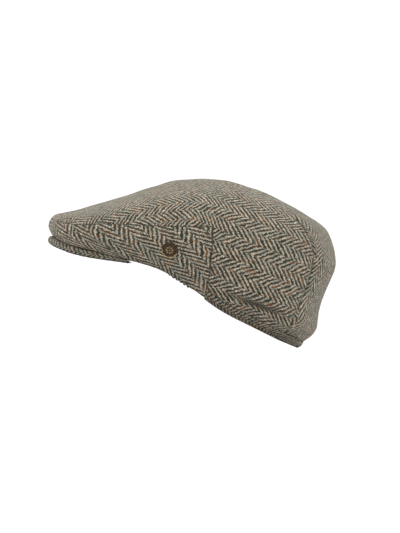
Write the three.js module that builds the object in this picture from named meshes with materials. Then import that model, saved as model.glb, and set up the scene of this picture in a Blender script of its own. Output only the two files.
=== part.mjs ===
// A tweed flat cap, resting on its rim and on the two front corners of its peak.
// Millimetres, +Z up, front towards -X, the wearer's left side towards -Y.
//
// The crown is one surface, read by bearing and level. Bearing 0 points to the front,
// 90 degrees to the left side and 180 degrees to the back. Level 0 is the rim, level 1
// the shoulder, where the side strips are sewn to the panel, and level 2 the top.
// The panel, the two side strips and the hem are walls of cloth cut from that surface.

import * as THREE from "three";
import { mergeVertices } from "three/addons/utils/BufferGeometryUtils.js";

// Crown: how far the shoulder reaches from the crown's centre line, and how high it stands
const CROWN_FRONT = 151;
const CROWN_BACK = 117;
const CROWN_WIDTH = 204;
const CROWN_HEIGHT = 124;
const CROWN_FRONT_FULLNESS = 2.25;
const CROWN_BACK_FULLNESS = 2.3;
const TOP_SETBACK = 20;
const SHOULDER_HEIGHT = 80;

// Rim: the lower edge of the cloth, over the peak in front and round the head behind
const RIM_FRONT = 143;
const RIM_BACK = 112;
const RIM_WIDTH = 160;
const RIM_FRONT_FULLNESS = 2.55;
const RIM_BACK_FULLNESS = 2.2;
const TEMPLE_ARCH = 18;

// Cloth and seams
const CLOTH_THICKNESS = 2.4;
const SEAM_GAP = 0.4;
const TEMPLE_SEAM_BEARING = 87;
const TEMPLE_SEAM_SLANT = 12;
const TEMPLE_SEAM_SPREAD = 60;

// Hem: the turned and rolled edge along the rear rim
const HEM_HEIGHT = 7.5;
const HEM_ROLL = 0.8;
const HEM_END_GAP = 0.7;

// Peak: a stiff crescent under the front of the crown
const PEAK_FOREHEAD = 98;
const PEAK_LIP = 2.5;
const PEAK_EDGE_THICKNESS = 7.9;
const PEAK_INNER_THICKNESS = 3.6;
const PEAK_CORNER_THICKNESS = 1.6;
const PEAK_RISE = 15;
const PEAK_COLUMNS = 9;
const PEAK_FULLNESS = 2.2;

// Soft crease in each wing, above the rear rim
const CREASE_DEPTH = 3.2;
const CREASE_WIDTH = 11;
const CREASE_BEARING = 126;
const CREASE_SPREAD = 20;
const CREASE_HEIGHT = 24;
const CREASE_CLIMB = 0.2;

// Badge on the left side strip
const BADGE_ACROSS = 15;
const BADGE_THICKNESS = 1.5;
const BADGE_RIM_WIDTH = 0.9;
const BADGE_RIM_RISE = 0.5;
const BADGE_BOSS_WIDTH = 5;
const BADGE_BEARING = 70.3;
const BADGE_LEVEL = 0.49;
const BADGE_CLEARANCE = 0.3;

// Number of divisions along each seam
const STRIP_COLUMNS = 16;
const WING_COLUMNS = 18;
const SKIRT_ROWS = 10;
const DOME_ROWS = 13;

// Heights of the rim and of the shoulder at equal steps of bearing, front to back,
// as shares of TEMPLE_ARCH and SHOULDER_HEIGHT
const LINES = [
  { rim: 0.52, shoulder: 0.31 },
  { rim: 0.4, shoulder: 0.31 },
  { rim: 0.79, shoulder: 0.53 },
  { rim: 0.97, shoulder: 0.74 },
  { rim: 0.68, shoulder: 0.94 },
  { rim: 0.27, shoulder: 1.02 },
  { rim: 0.1, shoulder: 1.03 },
  { rim: 0, shoulder: 1.01 },
  { rim: 0, shoulder: 1 },
];

// Skirt, from rim to shoulder: how far each level stands out, as a share of the way
// from the rim's outline to the shoulder's
const SKIRT = [
  { front: 0, side: 0, back: 0 },
  { front: 0.32, side: 0.2, back: 0.65 },
  { front: 0.55, side: 0.37, back: 1.55 },
  { front: 0.75, side: 0.52, back: 1.82 },
  { front: 0.88, side: 0.66, back: 1.5 },
  { front: 0.96, side: 0.77, back: 1.19 },
  { front: 1.01, side: 0.86, back: 1.05 },
  { front: 1.04, side: 0.93, back: 1.01 },
  { front: 1.04, side: 0.97, back: 1 },
  { front: 1.03, side: 0.99, back: 1 },
  { front: 1, side: 1, back: 1 },
];

// Dome, from shoulder to top: the reach left, as a share of the shoulder's outline,
// and the climb, as a share of the height from the shoulder to the top
const DOME = [
  { frontReach: 1, frontClimb: 0, sideReach: 1, sideClimb: 0, backReach: 1, backClimb: 0 },
  { frontReach: 0.98, frontClimb: 0.045, sideReach: 0.985, sideClimb: 0.17, backReach: 0.985, backClimb: 0.15 },
  { frontReach: 0.94, frontClimb: 0.09, sideReach: 0.94, sideClimb: 0.36, backReach: 0.94, backClimb: 0.34 },
  { frontReach: 0.85, frontClimb: 0.21, sideReach: 0.86, sideClimb: 0.54, backReach: 0.87, backClimb: 0.55 },
  { frontReach: 0.73, frontClimb: 0.374, sideReach: 0.75, sideClimb: 0.69, backReach: 0.77, backClimb: 0.76 },
  { frontReach: 0.6, frontClimb: 0.56, sideReach: 0.62, sideClimb: 0.81, backReach: 0.64, backClimb: 0.87 },
  { frontReach: 0.47, frontClimb: 0.745, sideReach: 0.47, sideClimb: 0.9, backReach: 0.48, backClimb: 0.92 },
  { frontReach: 0.32, frontClimb: 0.885, sideReach: 0.32, sideClimb: 0.955, backReach: 0.32, backClimb: 0.955 },
  { frontReach: 0.16, frontClimb: 0.972, sideReach: 0.16, sideClimb: 0.985, backReach: 0.16, backClimb: 0.985 },
  { frontReach: 0, frontClimb: 1, sideReach: 0, sideClimb: 1, backReach: 0, backClimb: 1 },
];

const CLOTH_COLOUR = 0x79736a;
const HEM_COLOUR = 0x6e685c;
const BRASS_COLOUR = 0x5a4a30;
const HALF_TURN = 180;

const { clamp, degToRad, lerp, radToDeg, smoothstep } = THREE.MathUtils;

// Value of one column of a table at a share from its first row (0) to its last (1),
// on a smooth curve through the rows; level ends continue flat or straight as asked.
function readTable(table, column, share, flatEnds = false) {
  const last = table.length - 1;
  const place = clamp(share, 0, 1) * last;
  const row = Math.min(Math.floor(place), last - 1);
  const value = (k) => {
    if (k >= 0 && k <= last) return table[k][column];
    const mirrored = k < 0 ? -k : 2 * last - k;
    const end = table[k < 0 ? 0 : last][column];
    return flatEnds ? table[mirrored][column] : 2 * end - table[mirrored][column];
  };
  const [a, b, c, d] = [row - 1, row, row + 1, row + 2].map(value);
  const t = place - row;
  return b + 0.5 * t * (c - a + t * (2 * a - 5 * b + 4 * c - d + t * (3 * (b - c) + d - a)));
}

// Bearing folded onto one side, from 0 at the front to 180 at the back.
function folded(bearing) {
  const turn = ((bearing % 360) + 360) % 360;
  return turn > HALF_TURN ? 360 - turn : turn;
}

// Reach of a rounded outline from the centre line at a bearing.
function outlineReach(bearing, front, back, width, frontFullness, backFullness) {
  const cosine = Math.cos(degToRad(bearing));
  const sine = Math.sin(degToRad(bearing));
  const fullness = lerp(backFullness, frontFullness, smoothstep(cosine, -1, 1));
  const along = Math.abs(cosine) / (cosine > 0 ? front : back);
  const across = Math.abs(sine) / (width / 2);
  return (along ** fullness + across ** fullness) ** (-1 / fullness);
}

const rimReach = (bearing) =>
  outlineReach(bearing, RIM_FRONT, RIM_BACK, RIM_WIDTH, RIM_FRONT_FULLNESS, RIM_BACK_FULLNESS);

const shoulderReach = (bearing) =>
  outlineReach(bearing, CROWN_FRONT, CROWN_BACK, CROWN_WIDTH, CROWN_FRONT_FULLNESS, CROWN_BACK_FULLNESS);

const rimHeight = (bearing) =>
  Math.max(0, TEMPLE_ARCH * readTable(LINES, "rim", folded(bearing) / HALF_TURN, true));

const shoulderHeight = (bearing) =>
  SHOULDER_HEIGHT * readTable(LINES, "shoulder", folded(bearing) / HALF_TURN, true);

// Share of the skirt's height that a length in millimetres takes at a bearing.
const skirtShare = (bearing, length) => length / (shoulderHeight(bearing) - rimHeight(bearing));

// Mean of a value at the front, the side and the back, weighted by bearing.
function byBearing(bearing, front, side, back) {
  const cosine = Math.cos(degToRad(bearing));
  return side + cosine * cosine * ((cosine > 0 ? front : back) - side);
}

// Depth of the crease pressed into the wings at a bearing and a height.
function creaseDepth(bearing, height) {
  const off = folded(bearing) - CREASE_BEARING;
  const line = CREASE_HEIGHT + CREASE_CLIMB * off;
  return CREASE_DEPTH * Math.exp(-((off / CREASE_SPREAD) ** 2) - ((2 * (height - line)) / CREASE_WIDTH) ** 2);
}

// Point in a bearing's direction, at a reach from an axis set back from the centre line.
function pointAt(bearing, reach, height, setback = 0) {
  const angle = degToRad(bearing);
  return new THREE.Vector3(setback - reach * Math.cos(angle), -reach * Math.sin(angle), height);
}

// Point of the crown's outer surface below the shoulder; share runs from rim to shoulder.
function skirtPoint(bearing, share) {
  const height = lerp(rimHeight(bearing), shoulderHeight(bearing), share);
  const out = byBearing(
    bearing,
    readTable(SKIRT, "front", share),
    readTable(SKIRT, "side", share),
    readTable(SKIRT, "back", share),
  );
  const reach = lerp(rimReach(bearing), shoulderReach(bearing), out);
  return pointAt(bearing, reach - creaseDepth(bearing, height), height);
}

// Point of the crown's outer surface above the shoulder; share runs from shoulder to top.
function domePoint(bearing, share) {
  const read = (column) => readTable(DOME, column, share);
  const reach = byBearing(bearing, read("frontReach"), read("sideReach"), read("backReach"));
  const climb = byBearing(bearing, read("frontClimb"), read("sideClimb"), read("backClimb"));
  const height = lerp(shoulderHeight(bearing), CROWN_HEIGHT, climb);
  return pointAt(bearing, reach * shoulderReach(bearing), height, (1 - reach) * TOP_SETBACK);
}

const crownPoint = (bearing, level) =>
  level < 1 ? skirtPoint(bearing, level) : domePoint(bearing, level - 1);

// Outward direction of the crown's surface.
function crownNormal(bearing, level) {
  const step = 0.004;
  const here = Math.min(level, 2 - 2 * step);
  const round = crownPoint(bearing + 1, here).sub(crownPoint(bearing - 1, here));
  const low = Math.max(here - step, 0);
  const up = crownPoint(bearing, here + step).sub(crownPoint(bearing, low));
  return round.cross(up).normalize();
}

// Point at a depth of cloth under the crown's outer surface.
function clothPoint(bearing, level, depth) {
  if (level >= 2) return crownPoint(0, 2).add(new THREE.Vector3(0, 0, -depth));
  return crownPoint(bearing, level).addScaledVector(crownNormal(bearing, level), -depth);
}

// Bearing of a division line that leans back towards the rim beside the temple seam.
function leaningBearing(bearing, level) {
  const near = clamp((folded(bearing) - TEMPLE_SEAM_BEARING) / TEMPLE_SEAM_SPREAD, -1, 1);
  const lean = TEMPLE_SEAM_SLANT * (1 - Math.min(level, 1)) * Math.cos((near * Math.PI) / 2) ** 2;
  return Math.sin(degToRad(bearing)) >= 0 ? bearing + lean : bearing - lean;
}

// Bearing of a numbered division, counted from the front by the left side; the temple
// seams fall on divisions, and the count goes on past 180 degrees up the right side.
const HALF_COLUMNS = STRIP_COLUMNS + WING_COLUMNS;
function columnBearing(column) {
  if (column > HALF_COLUMNS) return 2 * HALF_TURN - columnBearing(2 * HALF_COLUMNS - column);
  if (column <= STRIP_COLUMNS) return (TEMPLE_SEAM_BEARING * column) / STRIP_COLUMNS;
  const behind = (column - STRIP_COLUMNS) / WING_COLUMNS;
  return lerp(TEMPLE_SEAM_BEARING, HALF_TURN, behind);
}

// Closed geometry from triangles given as a flat list of corners.
function closedGeometry(corners) {
  const geometry = new THREE.BufferGeometry().setFromPoints(corners);
  const merged = mergeVertices(geometry, 1e-4);
  const kept = [];
  for (let i = 0; i < merged.index.count; i += 3) {
    const triangle = [0, 1, 2].map((k) => merged.index.getX(i + k));
    if (new Set(triangle).size === 3) kept.push(...triangle);
  }
  merged.setIndex(kept);
  merged.computeVertexNormals();
  return merged;
}

// Wall of cloth over the cells of a grid: point(row, column, depth) gives its corners,
// and the wall's cut edges are closed wherever a cell has no neighbour.
function clothWall(rows, columns, hasCell, point) {
  const corners = [];
  const quad = (a, b, c, d) => corners.push(a, b, c, a, c, d);
  for (let row = 0; row < rows; row += 1) {
    for (let column = 0; column < columns; column += 1) {
      if (!hasCell(row, column)) continue;
      const cell = [[row, column], [row, column + 1], [row + 1, column + 1], [row + 1, column]];
      const [a, b, c, d] = cell.map(([r, k]) => point(r, k, 0));
      const [e, f, g, h] = cell.map(([r, k]) => point(r, k, CLOTH_THICKNESS));
      quad(a, b, c, d);
      quad(e, h, g, f);
      if (!hasCell(row - 1, column)) quad(a, e, f, b);
      if (!hasCell(row + 1, column)) quad(d, c, g, h);
      if (!hasCell(row, column - 1)) quad(a, d, h, e);
      if (!hasCell(row, column + 1)) quad(b, f, g, c);
    }
  }
  return closedGeometry(corners);
}

// Solid swept through closed loops of equal length, which run up the outer side and
// down the inner side, and follow each other by bearing.
function sweptSolid(loops) {
  const corners = [];
  const count = loops[0].length;
  for (let k = 0; k + 1 < loops.length; k += 1) {
    for (let i = 0; i < count; i += 1) {
      const j = (i + 1) % count;
      corners.push(loops[k][i], loops[k + 1][i], loops[k + 1][j]);
      corners.push(loops[k][i], loops[k + 1][j], loops[k][j]);
    }
  }
  const middle = (loop) =>
    loop.reduce((sum, point) => sum.add(point), new THREE.Vector3()).divideScalar(count);
  const first = loops[0];
  const last = loops[loops.length - 1];
  for (let i = 0; i < count; i += 1) {
    const j = (i + 1) % count;
    corners.push(middle(first), first[i], first[j]);
    corners.push(middle(last), last[j], last[i]);
  }
  return closedGeometry(corners);
}

// Panel: the top, the back and both wings in one piece of cloth.
function crownPanel() {
  const columns = 2 * HALF_COLUMNS;
  const rows = SKIRT_ROWS + DOME_ROWS;
  const isWing = (column) => column >= STRIP_COLUMNS && column < columns - STRIP_COLUMNS;
  const hasCell = (row, column) => {
    if (row < 0 || row >= rows) return false;
    const wrapped = (column + columns) % columns;
    return row >= SKIRT_ROWS || isWing(wrapped);
  };
  const point = (row, column, depth) => {
    const straight = columnBearing(column % columns);
    if (row >= SKIRT_ROWS) return clothPoint(straight, 1 + (row - SKIRT_ROWS) / DOME_ROWS, depth);
    const lowest = skirtShare(straight, HEM_HEIGHT + SEAM_GAP);
    const level = lerp(lowest, 1, row / SKIRT_ROWS);
    return clothPoint(leaningBearing(straight, level), level, depth);
  };
  return clothWall(rows, columns, hasCell, point);
}

// Side strip: from the front seam to the temple seam, between the rim and the panel.
// Side is 1 for the left strip and -1 for the right one.
function sideStrip(side) {
  const inset = radToDeg(SEAM_GAP / (CROWN_WIDTH / 2));
  const hasCell = (row, column) =>
    row >= 0 && row < SKIRT_ROWS && column >= 0 && column < STRIP_COLUMNS;
  const point = (row, column, depth) => {
    const share = side > 0 ? column / STRIP_COLUMNS : 1 - column / STRIP_COLUMNS;
    const straight = lerp(inset / 2, TEMPLE_SEAM_BEARING, share);
    const level = row / SKIRT_ROWS;
    const bearing = leaningBearing(straight, level) - inset * share;
    const place = clothPoint(bearing, level, depth);
    return place.set(place.x, side * place.y, place.z - SEAM_GAP * level);
  };
  return clothWall(SKIRT_ROWS, STRIP_COLUMNS, hasCell, point);
}

// Hem: a rolled edge under the wings and the back, flat where it rests.
// Out and share place each corner of its section: out in hem rolls, share of its height.
function rimHem() {
  const inner = -CLOTH_THICKNESS;
  const section = [
    { share: 0, out: -0.6 * HEM_ROLL },
    { share: 0.12, out: 0 },
    { share: 0.35, out: HEM_ROLL },
    { share: 0.65, out: HEM_ROLL },
    { share: 0.9, out: 0.5 * HEM_ROLL },
    { share: 1, out: 0 },
    { share: 1, out: inner },
    { share: 0.65, out: inner - 0.5 * HEM_ROLL },
    { share: 0.2, out: inner - 0.5 * HEM_ROLL },
    { share: 0, out: inner + 0.6 * HEM_ROLL },
  ];
  const loops = [];
  const lastColumn = 2 * HALF_COLUMNS - STRIP_COLUMNS;
  const endInset = radToDeg(HEM_END_GAP / (RIM_WIDTH / 2));
  for (let column = STRIP_COLUMNS; column <= lastColumn; column += 1) {
    const end = Number(column === STRIP_COLUMNS) - Number(column === lastColumn);
    const straight = columnBearing(column) + end * endInset;
    loops.push(
      section.map(({ share, out }) => {
        const level = skirtShare(straight, share * HEM_HEIGHT);
        const bearing = leaningBearing(straight, level);
        const outward = pointAt(bearing, out, 0);
        return skirtPoint(bearing, level).add(outward);
      }),
    );
  }
  return sweptSolid(loops);
}

// Peak: a crescent from its rounded edge to the forehead, arched from side to side.
function peak() {
  const corner = columnBearing(PEAK_COLUMNS);
  const edgeSteps = 6;
  const acrossSteps = 6;
  const loops = [];
  for (let column = -PEAK_COLUMNS; column <= PEAK_COLUMNS; column += 1) {
    const bearing = Math.sign(column) * columnBearing(Math.abs(column));
    const aside = Math.abs(bearing) / corner;
    const middling = Math.cos((aside * Math.PI) / 2) ** 2;
    const lip = PEAK_LIP * (1 - aside ** 3);
    const outer = rimReach(bearing) + lip;
    const inner = outlineReach(
      bearing, PEAK_FOREHEAD, PEAK_FOREHEAD, RIM_WIDTH - 2 * CLOTH_THICKNESS, PEAK_FULLNESS, PEAK_FULLNESS,
    );
    const top = rimHeight(bearing) - SEAM_GAP;
    const edge = lerp(PEAK_EDGE_THICKNESS, PEAK_CORNER_THICKNESS, aside ** 3);
    const heel = lerp(PEAK_INNER_THICKNESS, PEAK_CORNER_THICKNESS, aside);
    const seated = lip + CLOTH_THICKNESS + SEAM_GAP;
    const place = (inward, above) => {
      const risen = Math.max(0, (inward - seated) / (outer - inner - seated));
      const thick = lerp(edge, heel, clamp(inward / (outer - inner), 0, 1));
      const height = top + PEAK_RISE * middling * risen - thick * (1 - above);
      return pointAt(bearing, outer - inward, Math.max(0, height));
    };
    const loop = [];
    for (let i = 0; i <= edgeSteps; i += 1) {
      const angle = Math.PI * (i / edgeSteps - 0.5);
      loop.push(place((edge / 2) * (1 - Math.cos(angle)), 0.5 + 0.5 * Math.sin(angle)));
    }
    const across = (i) => lerp(Math.max(edge / 2, seated), outer - inner, i / acrossSteps);
    const firstStep = edge / 2 < seated ? 0 : 1;
    for (let i = firstStep; i <= acrossSteps; i += 1) loop.push(place(across(i), 1));
    for (let i = acrossSteps; i >= firstStep; i -= 1) loop.push(place(across(i), 0));
    loops.push(loop);
  }
  return sweptSolid(loops);
}

// Badge: an eight-sided plate with a raised rim and a low boss, its back at height 0.
function badgePlate() {
  const corner = BADGE_ACROSS / 2 / Math.cos(Math.PI / 8);
  const floor = BADGE_THICKNESS - BADGE_RIM_RISE;
  const boss = BADGE_BOSS_WIDTH / 2;
  const profile = [
    [0, 0],
    [corner - 0.3 * BADGE_RIM_RISE, 0],
    [corner, 0.3 * BADGE_RIM_RISE],
    [corner, BADGE_THICKNESS - 0.3 * BADGE_RIM_RISE],
    [corner - 0.3 * BADGE_RIM_WIDTH, BADGE_THICKNESS],
    [corner - 0.7 * BADGE_RIM_WIDTH, BADGE_THICKNESS],
    [corner - BADGE_RIM_WIDTH, floor],
    [boss, floor],
    [0.7 * boss, floor + 0.7 * BADGE_RIM_RISE],
    [0, floor + 0.9 * BADGE_RIM_RISE],
  ];
  const points = profile.map(([across, height]) => new THREE.Vector2(across, height));
  const { position } = new THREE.LatheGeometry(points, 8, Math.PI / 8).toNonIndexed().attributes;
  const corners = [];
  for (let i = 0; i < position.count; i += 1) {
    corners.push(new THREE.Vector3().fromBufferAttribute(position, i));
  }
  return closedGeometry(corners);
}

function named(name, geometry, color, roughness, metalness) {
  const mesh = new THREE.Mesh(geometry, new THREE.MeshStandardMaterial({ color, roughness, metalness }));
  mesh.name = name;
  return mesh;
}

const cloth = (name, geometry, color = CLOTH_COLOUR) => named(name, geometry, color, 0.95, 0);

const badge = named("badge", badgePlate(), BRASS_COLOUR, 0.45, 0.9);
const badgeNormal = crownNormal(BADGE_BEARING, BADGE_LEVEL);
badge.position.copy(clothPoint(BADGE_BEARING, BADGE_LEVEL, -BADGE_CLEARANCE));
badge.quaternion.setFromUnitVectors(new THREE.Vector3(0, 1, 0), badgeNormal);

const cap = new THREE.Group();
cap.add(
  cloth("crown_panel", crownPanel()),
  cloth("side_strip_left", sideStrip(1)),
  cloth("side_strip_right", sideStrip(-1)),
  cloth("rim_hem", rimHem(), HEM_COLOUR),
  cloth("peak", peak()),
  badge,
);

// The origin is at the middle of the cap's length and width, on the surface it rests on.
cap.updateMatrixWorld(true);
const box = new THREE.Box3().setFromObject(cap, true);
const flatCap = new THREE.Group();
cap.position.set(-(box.min.x + box.max.x) / 2, -(box.min.y + box.max.y) / 2, -box.min.z);
flatCap.add(cap);

export default flatCap;
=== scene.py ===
"""A herringbone tweed flat cap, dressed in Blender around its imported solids.

The crown is one surface, read by bearing and level. Bearing 0 points to the front (-X), 90 degrees
to the wearer's left (-Y) and 180 degrees to the back. Level 0 is the rim, level 1 the shoulder, and
level 2 the top. Lengths are metres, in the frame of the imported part, which rests on the floor.
"""

import logging
import math
from dataclasses import dataclass, field
from enum import Enum

import bpy
import numpy as np
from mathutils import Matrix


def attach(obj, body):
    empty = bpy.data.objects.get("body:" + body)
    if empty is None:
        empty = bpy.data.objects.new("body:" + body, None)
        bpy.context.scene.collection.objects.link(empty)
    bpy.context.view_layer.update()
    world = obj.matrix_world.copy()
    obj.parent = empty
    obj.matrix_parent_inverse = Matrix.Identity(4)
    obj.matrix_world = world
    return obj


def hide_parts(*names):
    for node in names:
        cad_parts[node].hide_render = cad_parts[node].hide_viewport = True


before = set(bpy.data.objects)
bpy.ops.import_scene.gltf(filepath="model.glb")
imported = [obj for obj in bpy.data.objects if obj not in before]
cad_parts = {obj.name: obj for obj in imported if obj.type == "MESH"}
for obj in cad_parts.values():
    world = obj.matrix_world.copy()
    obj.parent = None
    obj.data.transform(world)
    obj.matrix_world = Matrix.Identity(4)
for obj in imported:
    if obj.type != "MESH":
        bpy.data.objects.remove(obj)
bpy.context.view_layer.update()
log = logging.getLogger("flat_cap")

Grid = np.ndarray

GATHER_SPREAD = 0.22
TEMPLE_BEARING = 87.0
TEMPLE_LEAN = 12.0


class Side(Enum):
    """The wearer's side that a strip is sewn to."""

    LEFT = 1
    RIGHT = -1


# Curves and small tools


def ramp(value: Grid, start: float, end: float) -> Grid:
    """Smooth step from 0 at start to 1 at end: with t the clamped share of the way, 3t^2 - 2t^3.

    Args:
        value: where to read the step.
        start: value at which the step is 0.
        end: value at which the step is 1.

    Returns:
        The step, shaped like value.
    """
    t = np.clip((value - start) / (end - start), 0.0, 1.0)
    return t * t * (3.0 - 2.0 * t)


def bell(value: Grid, width: float) -> Grid:
    """Bell curve exp(-(value / width)^2)."""
    return np.exp(-((value / width) ** 2))


def read_rows(rows: Grid, share: Grid, level_ends: bool = False) -> Grid:
    """Value of a table's column at a share of its length, on the Catmull-Rom curve through its rows.

    Args:
        rows: the column's values, at equal steps.
        share: where to read it, 0 at its first row and 1 at its last.
        level_ends: whether the curve is mirrored at its ends, or goes straight on.

    Returns:
        The values, shaped like share.
    """
    rows = np.asarray(rows, float)
    if level_ends:
        before, after = rows[1], rows[-2]
    else:
        before, after = 2 * rows[0] - rows[1], 2 * rows[-1] - rows[-2]
    padded = np.concatenate(([before], rows, [after]))
    place = np.clip(share, 0.0, 1.0) * (len(rows) - 1)
    row = np.minimum(place.astype(int), len(rows) - 2)
    t = place - row
    a, b, c, d = (padded[row + k] for k in range(4))
    return b + 0.5 * t * (c - a + t * (2 * a - 5 * b + 4 * c - d + t * (3 * (b - c) + d - a)))


def gathered_steps(count: int, at_start: float, at_end: float) -> Grid:
    """Steps from 0 to 1 that lie closer together at either end.

    A step's size is 1 less a bell at each end, as high as that end is gathered.

    Args:
        count: number of steps.
        at_start: how much closer the first steps lie, from 0 to under 1.
        at_end: how much closer the last steps lie, from 0 to under 1.

    Returns:
        count + 1 values from 0 to 1.
    """
    t = (np.arange(count) + 0.5) / count
    size = 1.0 - at_start * bell(t, GATHER_SPREAD) - at_end * bell(1.0 - t, GATHER_SPREAD)
    return np.concatenate(([0.0], np.cumsum(size) / np.sum(size)))


def arc_lengths(points: Grid, axis: int) -> Grid:
    """Running length of a grid's lines along one axis, 0 at their first point.

    Args:
        points: places, with 3 numbers in the last axis.
        axis: the axis that the lines run along.

    Returns:
        The lengths, one for each point.
    """
    steps = np.linalg.norm(np.diff(points, axis=axis), axis=-1)
    start = np.zeros_like(np.take(steps, [0], axis=axis))
    return np.concatenate((start, np.cumsum(steps, axis=axis)), axis=axis)


def look_up(table: Grid, row: Grid, column: Grid) -> Grid:
    """Value of a table between its cells: the mean of the four nearest, weighted by nearness.

    Args:
        table: the values, rows x columns.
        row: rows to read at, held just inside the last one.
        column: columns to read at, held just inside the last one.

    Returns:
        The values, shaped like row and column together.
    """
    just_inside = 1.001
    r = np.clip(row, 0, table.shape[0] - just_inside)
    c = np.clip(column, 0, table.shape[1] - just_inside)
    i, j = r.astype(int), c.astype(int)
    s, t = r - i, c - j
    low = table[i, j] * (1 - t) + table[i, j + 1] * t
    high = table[i + 1, j] * (1 - t) + table[i + 1, j + 1] * t
    return low * (1 - s) + high * s


# Meshes


CORNERS = (
    (slice(None, -1), slice(None, -1)),
    (slice(None, -1), slice(1, None)),
    (slice(1, None), slice(1, None)),
    (slice(1, None), slice(None, -1)),
)


@dataclass
class Patchwork:
    """Faces gathered over one or more grids of points, with their weave coordinates."""

    points: list = field(default_factory=list)
    faces: list = field(default_factory=list)
    weaves: list = field(default_factory=list)
    values: dict = field(default_factory=dict)
    count: int = 0

    def add_points(self, points: Grid, **values: Grid) -> Grid:
        """Adds a grid of points.

        Args:
            points: rows x columns x 3 places.
            values: named numbers for each point, rows x columns.

        Returns:
            The points' numbers in the mesh, rows x columns.
        """
        ids = self.count + np.arange(points[..., 0].size).reshape(points.shape[:-1])
        self.points.append(points.reshape(-1, 3))
        self.count += ids.size
        for name, numbers in values.items():
            self.values.setdefault(name, []).append(np.broadcast_to(numbers, ids.shape).ravel())
        return ids

    def add_closed(self, points: Grid, **values: Grid) -> Grid:
        """Adds a grid of rings: each ring's last point is its first, and the end rows are one point.

        Args:
            points: rings x points round each x 3 places.
            values: named numbers for each point.

        Returns:
            The points' numbers in the mesh, rings x points round each.
        """
        ids = self.add_points(points, **values)
        ids[:, -1] = ids[:, 0]
        ids[0], ids[-1] = ids[0, 0], ids[-1, 0]
        return ids

    def add_cells(self, ids: Grid, weave: Grid, cells: Grid | None = None, flipped: bool = False) -> None:
        """Adds a four-sided face for each cell of a grid, facing along column step x row step.

        Args:
            ids: point numbers, rows x columns.
            weave: the weave's place at each point, rows x columns x 2.
            cells: which cells get a face; all of them where it is left out.
            flipped: whether the faces point the other way.
        """
        corners = CORNERS[::-1] if flipped else CORNERS
        chosen = np.ones((ids.shape[0] - 1, ids.shape[1] - 1), bool) if cells is None else cells
        self.faces.append(np.stack([ids[c][chosen] for c in corners], axis=-1))
        self.weaves.append(np.stack([weave[c][chosen] for c in corners], axis=1))

    def add_side(self, outer: Grid, inner: Grid, weave: Grid, cells: Grid, ends: tuple[int, int]) -> None:
        """Adds the cut side of a wall along one side of its cells.

        Args:
            outer: point numbers of the outer skin.
            inner: point numbers of the inner skin.
            weave: the weave's place at each point.
            cells: the cells with an open side there.
            ends: which two corners of each cell the side joins, in the order of CORNERS.
        """
        first, second = (CORNERS[k] for k in ends)
        ids = [outer[first], outer[second], inner[second], inner[first]]
        self.faces.append(np.stack([grid[cells] for grid in ids], axis=-1))
        self.weaves.append(np.stack([weave[c][cells] for c in (first, second, second, first)], axis=1))

    def build(self, name: str, material: bpy.types.Material) -> bpy.types.Object:
        """Makes the object: drops unused points, and corners that two points of a face share.

        Args:
            name: the piece's name.
            material: the piece's finish.

        Returns:
            The object, linked to the scene.
        """
        faces = np.concatenate(self.faces)
        weaves = np.concatenate(self.weaves)
        used, faces = np.unique(faces, return_inverse=True)
        faces = faces.reshape(-1, 4)
        points = np.concatenate(self.points)[used]
        kept = faces != np.roll(faces, 1, axis=1)
        whole = kept.sum(axis=1) >= 3
        faces, weaves, kept = faces[whole], weaves[whole], kept[whole]
        sizes = kept.sum(axis=1)
        mesh = bpy.data.meshes.new(name)
        mesh.vertices.add(len(points))
        mesh.vertices.foreach_set("co", points.astype(np.float32).ravel())
        mesh.loops.add(int(sizes.sum()))
        mesh.loops.foreach_set("vertex_index", faces[kept].astype(np.int32))
        mesh.polygons.add(len(faces))
        starts = np.concatenate(([0], np.cumsum(sizes)[:-1]))
        mesh.polygons.foreach_set("loop_start", starts.astype(np.int32))
        mesh.update(calc_edges=True)
        mesh.polygons.foreach_set("use_smooth", np.ones(len(faces), bool))
        mesh.uv_layers.new(name="weave").data.foreach_set("uv", weaves[kept].astype(np.float32).ravel())
        for key, numbers in self.values.items():
            attribute = mesh.attributes.new(key, "FLOAT", "POINT")
            attribute.data.foreach_set("value", np.concatenate(numbers)[used].astype(np.float32))
        mesh.materials.append(material)
        piece = bpy.data.objects.new(name, mesh)
        bpy.context.scene.collection.objects.link(piece)
        return piece


def dress(piece: bpy.types.Object, node: str) -> None:
    """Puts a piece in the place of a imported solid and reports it.

    Args:
        piece: the finished piece.
        node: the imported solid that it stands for.
    """
    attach(piece, "root")
    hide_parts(node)
    triangles = sum(len(p.vertices) - 2 for p in piece.data.polygons)
    log.info("%s stands for %s: %d triangles", piece.name, node, triangles)


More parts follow.
